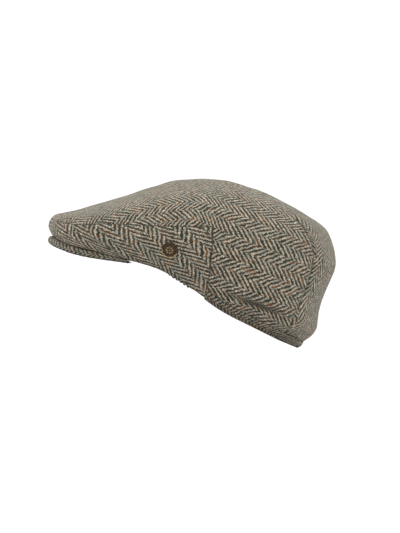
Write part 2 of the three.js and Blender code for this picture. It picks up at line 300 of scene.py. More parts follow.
# The crown's form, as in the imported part


@dataclass(frozen=True)
class CrownForm:
    """The crown's outer surface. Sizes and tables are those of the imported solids."""

    front: float = 0.151
    back: float = 0.117
    width: float = 0.204
    height: float = 0.124
    front_fullness: float = 2.25
    back_fullness: float = 2.3
    setback: float = 0.020
    shoulder: float = 0.080
    rim_front: float = 0.143
    rim_back: float = 0.112
    rim_width: float = 0.160
    rim_front_fullness: float = 2.55
    rim_back_fullness: float = 2.2
    temple_arch: float = 0.018
    crease_depth: float = 0.0032
    crease_width: float = 0.011
    crease_bearing: float = 126.0
    crease_spread: float = 20.0
    crease_height: float = 0.024
    crease_climb: float = 0.0002
    centre_x: float = 0.0151
    hem_height: float = 0.0075

    RIM = (0.52, 0.4, 0.79, 0.97, 0.68, 0.27, 0.1, 0, 0)
    SHOULDER = (0.31, 0.31, 0.53, 0.74, 0.94, 1.02, 1.03, 1.01, 1)
    SKIRT_OUT = {
        "front": (0, 0.32, 0.55, 0.75, 0.88, 0.96, 1.01, 1.04, 1.04, 1.03, 1),
        "side": (0, 0.2, 0.37, 0.52, 0.66, 0.77, 0.86, 0.93, 0.97, 0.99, 1),
        "back": (0, 0.65, 1.55, 1.82, 1.5, 1.19, 1.05, 1.01, 1, 1, 1),
    }
    DOME_REACH = {
        "front": (1, 0.98, 0.94, 0.85, 0.73, 0.6, 0.47, 0.32, 0.16, 0),
        "side": (1, 0.985, 0.94, 0.86, 0.75, 0.62, 0.47, 0.32, 0.16, 0),
        "back": (1, 0.985, 0.94, 0.87, 0.77, 0.64, 0.48, 0.32, 0.16, 0),
    }
    DOME_CLIMB = {
        "front": (0, 0.045, 0.09, 0.21, 0.374, 0.56, 0.745, 0.885, 0.972, 1),
        "side": (0, 0.17, 0.36, 0.54, 0.69, 0.81, 0.9, 0.955, 0.985, 1),
        "back": (0, 0.15, 0.34, 0.55, 0.76, 0.87, 0.92, 0.955, 0.985, 1),
    }

    @staticmethod
    def folded(bearing: Grid) -> Grid:
        """Bearing folded onto one side, from 0 at the front to 180 at the back."""
        return np.abs((bearing + 180.0) % 360.0 - 180.0)

    @staticmethod
    def outline(bearing: Grid, front: float, back: float, width: float, full: tuple) -> Grid:
        """Reach of a rounded outline: ((|cos|/end)^n + (|sin|/half width)^n)^(-1/n).

        Args:
            bearing: directions, in degrees.
            front: reach at the front.
            back: reach at the back.
            width: whole width.
            full: n at the front and at the back.

        Returns:
            The reach in each direction.
        """
        cosine, sine = np.cos(np.radians(bearing)), np.sin(np.radians(bearing))
        n = full[1] + ramp(cosine, -1.0, 1.0) * (full[0] - full[1])
        along = np.abs(cosine) / np.where(cosine > 0, front, back)
        across = np.abs(sine) / (width / 2)
        return (along**n + across**n) ** (-1.0 / n)

    def rim_reach(self, bearing: Grid) -> Grid:
        """Reach of the rim's outline."""
        full = (self.rim_front_fullness, self.rim_back_fullness)
        return self.outline(bearing, self.rim_front, self.rim_back, self.rim_width, full)

    def shoulder_reach(self, bearing: Grid) -> Grid:
        """Reach of the shoulder's outline."""
        full = (self.front_fullness, self.back_fullness)
        return self.outline(bearing, self.front, self.back, self.width, full)

    def rim_height(self, bearing: Grid) -> Grid:
        """Height of the rim above the floor."""
        share = self.folded(bearing) / 180.0
        return np.maximum(0.0, self.temple_arch * read_rows(self.RIM, share, level_ends=True))

    def shoulder_height(self, bearing: Grid) -> Grid:
        """Height of the shoulder above the floor."""
        return self.shoulder * read_rows(self.SHOULDER, self.folded(bearing) / 180.0, level_ends=True)

    def level_of(self, bearing: Grid, length: Grid | float) -> Grid:
        """Level that a height above the rim takes at a bearing."""
        return length / (self.shoulder_height(bearing) - self.rim_height(bearing))

    @staticmethod
    def by_bearing(bearing: Grid, table: dict, share: Grid) -> Grid:
        """Table value at a share: side + cos^2 of the bearing x (front or back - side).

        Args:
            bearing: directions, in degrees.
            table: columns for front, side and back.
            share: where to read, 0 to 1.

        Returns:
            The values.
        """
        cosine = np.cos(np.radians(bearing))
        front, side, back = (read_rows(table[key], share) for key in ("front", "side", "back"))
        return side + cosine**2 * (np.where(cosine > 0, front, back) - side)

    def crease(self, bearing: Grid, height: Grid) -> Grid:
        """Depth of the crease: a bell across its line times a bell along it.

        Args:
            bearing: directions, in degrees.
            height: heights above the floor.

        Returns:
            How far the cloth lies in.
        """
        off = self.folded(bearing) - self.crease_bearing
        line = self.crease_height + self.crease_climb * off
        across = bell(height - line, self.crease_width / 2)
        return self.crease_depth * bell(off, self.crease_spread) * across

    def place(self, bearing: Grid, reach: Grid, height: Grid, setback: Grid | float = 0.0) -> Grid:
        """Point in a bearing's direction, at a reach from an axis set back from the centre line.

        Args:
            bearing: directions, in degrees.
            reach: distances from the axis.
            height: heights above the floor.
            setback: how far the axis lies behind its usual place.

        Returns:
            The points, with 3 numbers in the last axis.
        """
        angle = np.radians(bearing)
        x = self.centre_x + setback - reach * np.cos(angle)
        return np.stack(np.broadcast_arrays(x, -reach * np.sin(angle), height), axis=-1)

    def skirt(self, bearing: Grid, level: Grid) -> Grid:
        """Point between rim and shoulder: both lie between the two outlines by the skirt's table.

        Args:
            bearing: directions, in degrees.
            level: levels, 0 at the rim, 1 at the shoulder and 2 at the top.

        Returns:
            The points.
        """
        low, high = self.rim_height(bearing), self.shoulder_height(bearing)
        height = low + (high - low) * level
        out = self.by_bearing(bearing, self.SKIRT_OUT, level)
        inner, outer = self.rim_reach(bearing), self.shoulder_reach(bearing)
        return self.place(bearing, inner + (outer - inner) * out - self.crease(bearing, height), height)

    def dome(self, bearing: Grid, share: Grid) -> Grid:
        """Point between shoulder and top: the shoulder's outline shrinks while its height climbs.

        Args:
            bearing: directions, in degrees.
            share: 0 at the shoulder and 1 at the top.

        Returns:
            The points.
        """
        reach = self.by_bearing(bearing, self.DOME_REACH, share)
        climb = self.by_bearing(bearing, self.DOME_CLIMB, share)
        low = self.shoulder_height(bearing)
        height = low + (self.height - low) * climb
        setback = (1 - reach) * self.setback
        return self.place(bearing, reach * self.shoulder_reach(bearing), height, setback)

    def point(self, bearing: Grid, level: Grid) -> Grid:
        """Point of the crown's surface, by bearing and level.

        Args:
            bearing: directions, in degrees.
            level: levels, 0 at the rim, 1 at the shoulder and 2 at the top.

        Returns:
            The points.
        """
        bearing, level = np.broadcast_arrays(bearing, level)
        low = self.skirt(bearing, np.clip(level, 0.0, 1.0))
        high = self.dome(bearing, np.clip(level - 1.0, 0.0, 1.0))
        return np.where((level < 1.0)[..., None], low, high)

    def normal(self, bearing: Grid, level: Grid) -> Grid:
        """Outward direction: step round the crown x step up the crown, made a unit long.

        Args:
            bearing: directions, in degrees.
            level: levels, 0 at the rim, 1 at the shoulder and 2 at the top.

        Returns:
            The directions.
        """
        step = 0.004
        here = np.minimum(level, 2.0 - 2.0 * step)
        around = self.point(bearing + 1.0, here) - self.point(bearing - 1.0, here)
        up = self.point(bearing, here + step) - self.point(bearing, np.maximum(here - step, 0.0))
        out = np.cross(around, up)
        return out / np.linalg.norm(out, axis=-1, keepdims=True)


@dataclass(frozen=True)
class ClothBehaviour:
    """How the sewn cloth lies: slow waves, seam valleys, puckers and the pressed crease, with painted
    shade in its valley.
    """

    thickness: float = 0.0024
    seam_gap: float = 0.0001
    seam_dip: float = 0.0006
    seam_roll: float = 0.0019
    edge_roll: float = 0.0012
    edge_draw: float = 0.42
    wave_height: float = 0.00033
    pucker_height: float = 0.0003
    pucker_length: float = 0.0115
    pucker_beat: float = 5.1
    pucker_fade: float = 0.006
    dart_depth: float = 0.0009
    dart_width: float = 0.0015
    dart_shoulder_height: float = 0.0002
    dart_shoulder_place: float = 0.0042
    dart_shoulder_width: float = 0.003
    fold_height: float = 0.0020
    fold_rise: float = 0.0060
    fold_depth: float = 0.0030
    fold_width: float = 0.0025
    fold_bearing: float = 126.0
    fold_spread: float = 11.5
    fold_line: float = 0.0222
    fold_climb: float = 0.0001
    fold_take: float = 0.0055
    shade_rise: float = 0.00075
    shade_width: float = 0.00275
    lip: float = 0.0006
    seed: int = 7

    WAVE_LENGTHS = (0.095, 0.07, 0.052, 0.043, 0.034, 0.027)

    def waves(self, points: Grid) -> Grid:
        """Slow unevenness: a sum of sines of the place, in directions drawn once from a seed.

        A wave's height grows with the square root of its length.

        Args:
            points: places, with 3 numbers in the last axis.

        Returns:
            How far the cloth stands out at each place.
        """
        draw = np.random.default_rng(self.seed)
        total = np.zeros(points.shape[:-1])
        for length in self.WAVE_LENGTHS:
            direction = draw.normal(size=3)
            direction *= 2 * math.pi / (length * np.linalg.norm(direction))
            height = self.wave_height * (length / self.WAVE_LENGTHS[1]) ** 0.5
            total += height * np.sin(points @ direction + draw.uniform(0, 6.3))
        return total

    def seam(self, from_seam: Grid) -> Grid:
        """How far the cloth dips where it is sewn to a neighbour: a parabola over the seam's roll."""
        return self.seam_dip * (1.0 - np.clip(from_seam / self.seam_roll, 0.0, 1.0)) ** 2

    def rounding(self, from_edge: Grid) -> Grid:
        """How far either skin draws in at a free edge, as a quarter circle over the edge's roll."""
        share = np.clip(from_edge / self.edge_roll, 0.0, 1.0)
        return self.edge_draw * self.thickness * (1.0 - np.sqrt(1.0 - (1.0 - share) ** 2))

    def pucker(self, from_seam: Grid, along: Grid) -> Grid:
        """Small ripples square to a seam, which die away from it: two sines times an exponential.

        Args:
            from_seam: distances from the seam.
            along: lengths along it.

        Returns:
            How far the cloth stands out.
        """
        share = along / self.pucker_length
        ripple = np.sin(2 * math.pi * share) + 0.5 * np.sin(self.pucker_beat * share)
        return self.pucker_height * ripple * np.exp(-from_seam / self.pucker_fade)

    def dart(self, from_seam: Grid) -> Grid:
        """Valley of a closed dart, with low rolled shoulders: a bell on either side, less one.

        Args:
            from_seam: distances from the seam.

        Returns:
            How far the cloth stands out.
        """
        away = np.abs(from_seam)
        place, width = self.dart_shoulder_place, self.dart_shoulder_width
        shoulders = self.dart_shoulder_height * bell(away - place, width)
        return shoulders - self.dart_depth * bell(away, self.dart_width)

    def crease_place(self, form: CrownForm, bearing: Grid, height: Grid) -> tuple[Grid, Grid]:
        """Strength along the crease, a bell from 0 to 1, and the height above its line."""
        off = form.folded(bearing) - self.fold_bearing
        return bell(off, self.fold_spread), height - self.fold_line - self.fold_climb * off

    def pressed_crease(self, form: CrownForm, bearing: Grid, height: Grid) -> Grid:
        """Sharp valley along the crease, a bell of its own, under a wider bell for the fold above.

        Args:
            form: the crown.
            bearing: directions, in degrees.
            height: heights above the floor.

        Returns:
            How far the cloth stands out.
        """
        along, above = self.crease_place(form, bearing, height)
        fold = self.fold_height * bell(above - self.fold_rise, self.fold_rise)
        return along * (fold - self.fold_depth * bell(above, self.fold_width))

    def crease_shade(self, form: CrownForm, bearing: Grid, height: Grid) -> Grid:
        """Painted shade in the crease's valley, from 0 to 1: how far the cloth there is darkened."""
        along, above = self.crease_place(form, bearing, height)
        return along * bell(above - self.shade_rise, self.shade_width)

    def crease_take(self, form: CrownForm, bearing: Grid, height: Grid) -> Grid:
        """Length of cloth that the fold has swallowed, felt by all the weave below its line."""
        along, above = self.crease_place(form, bearing, height)
        return self.fold_take * along * ramp(above, 0.5 * self.fold_width, -0.5 * self.fold_width)


def temple_bearing(level: Grid) -> Grid:
    """Bearing of the temple seam, which leans back in a straight line towards the rim."""
    return TEMPLE_BEARING + TEMPLE_LEAN * (1.0 - np.minimum(level, 1.0))


@dataclass(frozen=True)
class DartSeam:
    """Seam of a closed dart, from the rim up to its tip on the dome, set by its side view."""

    form: CrownForm
    tip: float = 1.556
    fade: float = 0.2
    turn_fade: float = 0.48

    LEVELS = 80
    BEARINGS = (95.0, 179.0, 337)
    SMOOTHED = 7
    HEIGHTS = (0.0086, 0.0227, 0.0375, 0.051, 0.066, 0.0804, 0.0892, 0.0982, 0.1062, 0.112, 0.1175)
    PLACES = (0.1115, 0.1108, 0.1118, 0.1123, 0.1112, 0.1084, 0.1048, 0.0968, 0.0864, 0.0756, 0.064)

    def bearing(self, level: Grid) -> Grid:
        """Bearing of the seam at a level: where the crown first lies behind the side view's line.

        Args:
            level: levels, of any shape.

        Returns:
            Bearings in degrees; above the tip they stay as at the tip.
        """
        levels = np.linspace(0.0, self.tip, self.LEVELS)
        bearings = np.linspace(*self.BEARINGS)
        points = self.form.point(bearings[None, :], levels[:, None])
        behind = points[..., 0] - np.interp(points[..., 2], self.HEIGHTS, self.PLACES)
        last = np.argmax(behind > 0, axis=1)
        row = np.arange(len(levels))
        low, high = behind[row, last - 1], behind[row, last]
        step = bearings[1] - bearings[0]
        found = bearings[last - 1] + step * low / (low - high)
        padded = np.pad(found, self.SMOOTHED // 2, mode="edge")
        smooth = np.convolve(padded, np.full(self.SMOOTHED, 1 / self.SMOOTHED), mode="valid")
        return np.interp(level, levels, smooth)

    def closed(self, level: Grid) -> Grid:
        """How far the dart is taken in at a level, from 1 low down to 0 at its tip."""
        return 1.0 - ramp(level, self.tip - self.fade, self.tip)

    def turned(self, level: Grid) -> Grid:
        """How far the weave behind the dart has a direction of its own, from 1 to 0 at the tip."""
        return 1.0 - ramp(level, self.tip - self.turn_fade, self.tip)


def closed_wall(work: Patchwork, skins: tuple[Grid, Grid], same: Grid, ring: bool, weave_cells: list,
                **values: Grid) -> None:
    """Adds a wall of cloth: an outer and an inner skin, with sides wherever a cell has no neighbour.

    Args:
        work: where the faces go.
        skins: points of the outer and the inner skin, each rows x columns x 3.
        same: for each point, the flat number of the point that it is one with.
        ring: whether the columns go all the way round.
        weave_cells: pairs of a weave grid and the cells that follow it.
        values: named numbers for each point.
    """
    outer, inner = (work.add_points(skin, **values).ravel()[same] for skin in skins)
    every = np.any([cells for _, cells in weave_cells], axis=0)
    none = np.zeros_like(every)
    below, above, before, after = none.copy(), none.copy(), none.copy(), none.copy()
    below[1:], above[:-1] = every[:-1], every[1:]
    before[:, 1:], after[:, :-1] = every[:, :-1], every[:, 1:]
    if ring:
        before[:, 0], after[:, -1] = every[:, -1], every[:, 0]
    for weave, cells in weave_cells:
        work.add_cells(outer, weave, cells)
        work.add_cells(inner, weave, cells, flipped=True)
        for neighbour, ends in ((below, (1, 0)), (above, (3, 2)), (before, (0, 3)), (after, (2, 1))):
            work.add_side(outer, inner, weave, cells & ~neighbour, ends)


# The cloth's flat pattern laid over the crown


class PanelLay:
    """Where the panel's cloth lies on the crown, with its columns of weave running front to back.

    Across: the girth from the centre line within the section at one x, which near the centre line
    is the distance from it. Along: the length of the line that keeps its place across, counted from
    the top. On the front slope the columns climb with the crown's profile, so a point's fall below
    the centre line, times the sine of the slope there, is taken off its length along.
    """

    STATIONS = 260
    BEARINGS = 361
    INSIDE = 0.00001
    GIRTHS = 90
    SKIRT_LEVELS = 50
    WIDEST = 0.24
    LEVEL_HEIGHT = 0.060
    LEVEL_SPAN = (-0.010, 0.112)
    TURNED = (0.015, 0.10)
    FLAT_TOP = (0.006, 0.018)
    LEANING = (0.030, -0.010)
    STEEPEST = 0.8

    def __init__(self, form: CrownForm, dome_levels: Grid) -> None:
        """Works out the sections.

        Args:
            form: the crown.
            dome_levels: levels of the mesh's rows from the shoulder to the top.
        """
        skirt_levels = np.linspace(0.0, 1.0, self.SKIRT_LEVELS, endpoint=False)
        self.levels = np.concatenate((skirt_levels, dome_levels))
        bearings = np.linspace(0.0, 180.0, self.BEARINGS)
        rings = form.point(bearings[None, :], self.levels[:, None])
        self.ring_x, ring_y, ring_z = rings[..., 0], -rings[..., 1], rings[..., 2]
        dome = self.SKIRT_LEVELS
        centre_x = np.concatenate((self.ring_x[dome:, 0], self.ring_x[dome:, -1][::-1]))
        centre_z = np.concatenate((ring_z[dome:, 0], ring_z[dome:, -1][::-1]))
        first, last = centre_x[0] + self.INSIDE, self.ring_x[:, -1].max() - self.INSIDE
        self.x = np.linspace(first, last, self.STATIONS)
        y_now = np.zeros(self.STATIONS)
        z_now = np.interp(self.x, centre_x, centre_z)
        total = np.zeros(self.STATIONS)
        count = len(self.levels)
        self.girth = np.zeros((count, self.STATIONS))
        section_y, section_z = np.zeros_like(self.girth), np.zeros_like(self.girth)
        self.inside = np.zeros(self.girth.shape, bool)
        for row in range(count - 1, -1, -1):
            y = np.interp(self.x, self.ring_x[row], ring_y[row], left=np.nan, right=np.nan)
            z = np.interp(self.x, self.ring_x[row], ring_z[row], left=np.nan, right=np.nan)
            self.inside[row] = ~np.isnan(y)
            y, z = np.where(self.inside[row], y, y_now), np.where(self.inside[row], z, z_now)
            total = total + np.hypot(y - y_now, z - z_now)
            y_now, z_now = y, z
            self.girth[row], section_y[row], section_z[row] = total, y, z
        level_girth = np.array([
            np.interp(-self.LEVEL_HEIGHT, -section_z[::-1, k], self.girth[::-1, k])
            for k in range(self.STATIONS)
        ])
        held = np.interp(np.clip(self.x, *self.LEVEL_SPAN), self.x, level_girth)
        self.shift = held[0] - held
        self.girth = self.shifted(self.girth, self.shift[None, :])
        girths = np.linspace(0.0, self.WIDEST, self.GIRTHS)
        lines = np.zeros((self.GIRTHS, self.STATIONS, 3))
        for column in range(self.STATIONS):
            falling = self.girth[::-1, column]
            lines[:, column, 0] = self.x[column]
            lines[:, column, 1] = np.interp(girths, falling, section_y[::-1, column])
            lines[:, column, 2] = np.interp(girths, falling, section_z[::-1, column])
        along = arc_lengths(lines, axis=1)
        top = np.interp(rings[-1, 0, 0], self.x, np.arange(self.STATIONS))
        start = look_up(along, np.arange(self.GIRTHS, dtype=float), np.full(self.GIRTHS, top))
        self.along = along - start[:, None]
        self.top = np.interp(self.x, centre_x, centre_z)
        climb = np.clip(np.gradient(self.top, self.x), 0.0, self.STEEPEST) * ramp(self.x, *self.LEANING)
        self.lean = climb / np.hypot(climb, 1.0)

    def shifted(self, girth: Grid, shift: Grid) -> Grid:
        """Girth shifted so that the columns lie level along the wings, as the darts turn them."""
        return girth + shift * ramp(girth, *self.TURNED)

    def lay(self, points: Grid, levels: Grid, dome_rows: int) -> Grid:
        """Weave coordinates of points of the panel.

        Args:
            points: places, rows x columns x 3, the last rows being the dome's.
            levels: the points' levels.
            dome_rows: number of rows on the dome, shoulder and top included.

        Returns:
            Across and along, rows x columns x 2.
        """
        station = np.interp(points[..., 0], self.x, np.arange(self.STATIONS))
        row = np.interp(levels, self.levels, np.arange(len(self.levels)))
        across = look_up(self.girth, row, station)
        for k in range(dome_rows):
            ring = self.SKIRT_LEVELS + k
            ok = self.inside[ring]
            x = np.concatenate((self.ring_x[ring, :1], self.x[ok], self.ring_x[ring, -1:]))
            girth = np.concatenate(([0.0], self.girth[ring][ok], [0.0]))
            across[k - dome_rows] = np.interp(points[k - dome_rows, :, 0], x, girth)
        aside = np.abs(points[..., 1])
        across = aside + (across - aside) * ramp(aside, *self.FLAT_TOP)
        along = look_up(self.along, across / self.WIDEST * (self.GIRTHS - 1), station)
        fall = np.interp(points[..., 0], self.x, self.top) - points[..., 2]
        along -= fall * np.interp(points[..., 0], self.x, self.lean)
        return np.stack((np.sign(-points[..., 1]) * across, along), axis=-1)


# Finishes


class Nodes:
    """Short calls for the nodes of one material."""

    def __init__(self, name: str) -> None:
        """Starts an empty material of that name.

        Args:
            name: the material's name.
        """
        self.material = bpy.data.materials.new(name)
        self.material.use_nodes = True
        self.tree = self.material.node_tree
        self.tree.nodes.clear()

    def add(self, kind: str, inputs: dict | None = None, **settings: object) -> bpy.types.Node:
        """Adds a node.

        Args:
            kind: the node's type, without the leading ShaderNode.
            inputs: sockets or plain values, by the input's name or number.
            settings: the node's own settings.

        Returns:
            The node.
        """
        node = self.tree.nodes.new("ShaderNode" + kind)
        for key, value in settings.items():
            setattr(node, key, value)
        for key, value in (inputs or {}).items():
            self.feed(node.inputs[key], value)
        return node

    def feed(self, socket: bpy.types.NodeSocket, value: object) -> None:
        """Links a socket to another one, or sets its plain value.

        Args:
            socket: the input.
            value: the output that feeds it, or its plain value.
        """
        if isinstance(value, bpy.types.NodeSocket):
            self.tree.links.new(value, socket)
        else:
            socket.default_value = value

    def math(self, operation: str, *values: object) -> bpy.types.NodeSocket:
        """Adds a Math node and gives its result."""
        return self.add("Math", dict(enumerate(values)), operation=operation).outputs[0]

    def mix(self, share: object, first: object, second: object,
            blend: str = "MIX") -> bpy.types.NodeSocket:
        """Adds a colour mix and gives its result.

        Args:
            share: share of the second colour.
            first: the first colour.
            second: the second colour.
            blend: how the two are blended.

        Returns:
            The mixed colour.
        """
        node = self.add("Mix", data_type="RGBA", blend_type=blend)
        self.feed(node.inputs[0], share)
        self.feed(node.inputs[6], first)
        self.feed(node.inputs[7], second)
        return node.outputs[2]

    def span(self, value: object, low: float, high: float, to_low: float = 0.0,
             to_high: float = 1.0) -> bpy.types.NodeSocket:
        """Maps a value from one span to another, held at its ends.

        Args:
            value: the value, or the socket that gives it.
            low: where the first span starts.
            high: where the first span ends.
            to_low: where the second span starts.
            to_high: where the second span ends.

        Returns:
            The mapped value.
        """
        node = self.add("MapRange", {0: value, 1: low, 2: high, 3: to_low, 4: to_high}, clamp=True)
        return node.outputs[0]

    def noise(self, vector: object, scale: float, detail: float = 2.0,
              rough: float = 0.5) -> bpy.types.NodeSocket:
        """Adds a noise texture and gives its value."""
        inputs = {"Vector": vector, "Scale": scale, "Detail": detail, "Roughness": rough}
        return self.add("TexNoise", inputs).outputs[0]

    def scaled(self, value: object, factor: object) -> bpy.types.NodeSocket:
        """Multiplies a value by a factor."""
        return self.math("MULTIPLY", value, factor)

    def dim(self, colour: object, tone: object) -> bpy.types.NodeSocket:
        """Multiplies all three channels of a colour by a tone."""
        grey = self.add("CombineXYZ", {0: tone, 1: tone, 2: tone}).outputs[0]
        return self.mix(1.0, colour, grey, "MULTIPLY")

    def finish(self, shader: bpy.types.Node) -> bpy.types.Material:
        """Links the shader to the material's output and gives the material.

        Args:
            shader: the surface's shader.

        Returns:
            The material.
        """
        output = self.add("OutputMaterial")
        self.tree.links.new(shader.outputs[0], output.inputs["Surface"])
        return self.material


Colour = tuple[float, float, float, float]


def srgb(red: int, green: int, blue: int) -> Colour:
    """Linear colour of an sRGB one from 0 to 255: ((c + 0.055) / 1.055)^2.4 above 0.04.

    Args:
        red: red, from 0 to 255.
        green: green, from 0 to 255.
        blue: blue, from 0 to 255.

    Returns:
        The linear colour, with full alpha.
    """
    shares = [c / 255.0 for c in (red, green, blue)]
    linear = [s / 12.92 if s < 0.04045 else ((s + 0.055) / 1.055) ** 2.4 for s in shares]
    return (*linear, 1.0)


@dataclass(frozen=True)
class TweedFinish:
    """Herringbone tweed: columns of slanted light and dark yarns that turn at each column's edge.

    Widths and lengths are millimetres of cloth, and scales are steps of noise a millimetre.
    """

    name: str
    # Below 1, shade darkens this copy of the tweed all over as painted shade.
    shade: float = 1.0
    column_width: float = 10.5
    yarn_pitch: float = 5.8
    slant: float = 40.0
    column_shift: float = 0.35
    drift_scale: float = 0.1
    drift_across: float = 3.0
    drift_along: float = 3.6
    jitter_scale: float = 0.45
    jitter: float = 0.95
    thread_scale: float = 0.85
    thread: float = 4.6
    strand_width: float = 1.2
    strand_length: float = 0.26
    column_step: float = 7.3
    knot_scale: float = 0.95
    knot_dark: float = 0.34
    knot_light: float = 1.6
    fibre_scale: float = 1.9
    fibre_share: float = 0.34
    cloud_scale: float = 0.03
    cloud: float = 0.07
    dark_brown: Colour = srgb(66, 52, 37)
    dark_green: Colour = srgb(50, 52, 43)
    light_cream: Colour = srgb(186, 177, 160)
    light_green: Colour = srgb(150, 152, 142)
    rust: Colour = srgb(122, 80, 44)
    teal: Colour = srgb(80, 92, 85)
    # Dark colour of the painted shade in seams, darts, the crease valley, between the hem's twists and
    # along the peak's sewn line.
    painted_shade_colour: Colour = srgb(74, 66, 54)
    sheen_tint: Colour = srgb(236, 232, 220)
    groove_matt: float = 0.75
    groove_tone: float = 0.45
    relief: float = 0.0006
    roughness: float = 0.93
    sheen: float = 0.22

    def material(self) -> bpy.types.Material:
        """Builds the weave: yarns give light and dark, strands give colour, and both give relief.

        Returns:
            The material.
        """
        n = Nodes(self.name)
        uv = n.add("UVMap", uv_map="weave").outputs[0]
        place = n.add("VectorMath", {0: uv, "Scale": 1000.0}, operation="SCALE").outputs[0]
        yarn, folded, column = self.yarns(n, place)
        wave = n.math("SINE", n.scaled(yarn, 2 * math.pi))
        thread = n.math("SUBTRACT", n.noise(place, self.thread_scale, 3.0, 0.65), 0.5)
        light = n.span(n.math("ADD", wave, n.scaled(thread, self.thread)), -0.3, 0.95)
        strand = n.add("CombineXYZ", {
            0: n.scaled(yarn, self.strand_width),
            1: n.scaled(folded, self.strand_length),
            2: n.scaled(column, self.column_step),
        }).outputs[0]
        cloth = self.dyed(n, strand, light)
        cloth = n.dim(cloth, n.span(
            n.noise(place, self.knot_scale, 3.0, 0.75), 0.37, 0.63, self.knot_dark, self.knot_light))
        fibre = n.noise(place, self.fibre_scale, 4.0, 0.7)
        share = n.span(fibre, 0.3, 0.75, 0.0, self.fibre_share)
        cloth = n.mix(share, cloth, n.mix(1.0, cloth, self.light_cream, "MULTIPLY"))
        # The attribute read here is painted shade: it mixes the cloth towards a dark colour and dims it
        # in seams, darts, the crease valley, between the hem's twists and along the peak's sewn line.
        groove = n.add("Attribute", attribute_name="groove").outputs["Fac"]
        cloth = n.mix(n.scaled(groove, self.groove_matt), cloth, self.painted_shade_colour)
        tone = n.scaled(n.span(groove, 0.0, 1.0, 1.0, self.groove_tone), self.shade)
        clouds = n.span(n.noise(place, self.cloud_scale, 2.0), 0.3, 0.7, 1 - self.cloud, 1 + self.cloud)
        cloth = n.dim(cloth, n.scaled(tone, clouds))
        height = n.math("ADD", n.scaled(light, 0.55), n.scaled(fibre, 0.8))
        bump = n.add("Bump", {"Strength": 0.75, "Distance": self.relief, "Height": height})
        rough = n.span(fibre, 0.2, 0.8, self.roughness - 0.08, self.roughness + 0.06)
        shader = n.add("BsdfPrincipled", {
            "Base Color": cloth, "Roughness": rough, "Normal": bump.outputs[0],
            "Specular IOR Level": 0.12, "Sheen Weight": self.sheen, "Sheen Roughness": 0.45,
            "Sheen Tint": self.sheen_tint,
        })
        return n.finish(shader)

    def yarns(self, n: Nodes, place: bpy.types.NodeSocket) -> tuple:
        """Number of the yarn at a place on the cloth, which grows by one from yarn to yarn.

        The number is the place along the column, less the place across it folded at each column's
        edge and divided by the slant's tangent, over the pitch. Noise makes it drift and jitter.

        Args:
            n: the material's nodes.
            place: the weave's place, in millimetres.

        Returns:
            The yarn's number, the folded place across, and the column's number.
        """
        split = n.add("SeparateXYZ", {0: place})
        drift = n.math("SUBTRACT", n.noise(place, self.drift_scale, 3.0, 0.6), 0.5)
        jitter = n.math("SUBTRACT", n.noise(place, self.jitter_scale, 2.0), 0.5)
        across = n.math("ADD", split.outputs[0], n.scaled(drift, self.drift_across))
        along = n.math("ADD", split.outputs[1], n.scaled(drift, self.drift_along))
        column = n.math("FLOOR", n.math("DIVIDE", across, self.column_width))
        odd = n.math("FLOORED_MODULO", column, 2.0)
        folded = n.math("PINGPONG", across, self.column_width)
        aside = n.math("DIVIDE", folded, math.tan(math.radians(self.slant)))
        yarn = n.math("DIVIDE", n.math("SUBTRACT", along, aside), self.yarn_pitch)
        yarn = n.math("ADD", yarn, n.scaled(odd, self.column_shift))
        return n.math("ADD", yarn, n.scaled(jitter, self.jitter)), folded, column

    def dyed(self, n: Nodes, strand: bpy.types.NodeSocket, light: bpy.types.NodeSocket) -> object:
        """Colour of dark and light yarns, picked strand by strand from noise drawn out along them.

        Args:
            n: the material's nodes.
            strand: the place, short across the yarns and long along them.
            light: share of the light yarn.

        Returns:
            The colour.
        """
        dark = n.span(self.strands(n, strand, 0.0, 1.0), 0.42, 0.58)
        dark = n.mix(dark, self.dark_brown, self.dark_green)
        pale = n.span(self.strands(n, strand, 17.0, 0.9), 0.42, 0.6)
        pale = n.mix(pale, self.light_cream, self.light_green)
        dark = n.mix(n.span(self.strands(n, strand, 37.0, 0.9), 0.55, 0.66, 0.0, 0.9), dark, self.rust)
        dark = n.mix(n.span(self.strands(n, strand, 63.0, 0.8), 0.57, 0.68, 0.0, 0.7), dark, self.teal)
        return n.mix(light, dark, pale)

    @staticmethod
    def strands(n: Nodes, strand: object, offset: float, scale: float) -> bpy.types.NodeSocket:
        """Noise drawn out along the yarns, read at an offset of its own."""
        moved = n.add("VectorMath", {0: strand, 1: (offset, 1.7 * offset, 0.6 * offset)}).outputs[0]
        return n.noise(moved, scale, 2.0, 0.6)


@dataclass(frozen=True)
class BrassFinish:
    """Antique brass: dark in the recesses, rubbed bright along raised edges, and with a painted highlight
    on the rim's lower side.
    """

    name: str = "antique_brass"
    dark: Colour = srgb(56, 46, 35)
    bright: Colour = srgb(196, 168, 122)
    roughness: float = 0.36
    stain_scale: float = 900.0
    stain: float = 1.6

    def material(self) -> bpy.types.Material:
        """Builds the finish: relief and a fine noise share out dark and bright metal; the relief also
        carries a painted highlight on the rim's lower side.

        Returns:
            The material.
        """
        n = Nodes(self.name)
        place = n.add("TexCoord").outputs["Object"]
        relief = n.add("Attribute", attribute_name="relief").outputs["Fac"]
        stain = n.noise(place, self.stain_scale, 3.0, 0.6)
        unevenness = n.scaled(n.math("SUBTRACT", stain, 0.5), self.stain)
        wear_and_highlight = n.span(n.math("ADD", relief, unevenness), 0.62, 1.2)
        metal = n.mix(wear_and_highlight, self.dark, self.bright)
        rough = n.span(stain, 0.3, 0.7, self.roughness - 0.08, self.roughness + 0.14)
        bump = n.add("Bump", {"Strength": 0.35, "Distance": 0.0001, "Height": stain})
        shader = n.add("BsdfPrincipled", {
            "Base Color": metal, "Metallic": 0.85, "Roughness": rough, "Normal": bump.outputs[0],
        })
        return n.finish(shader)


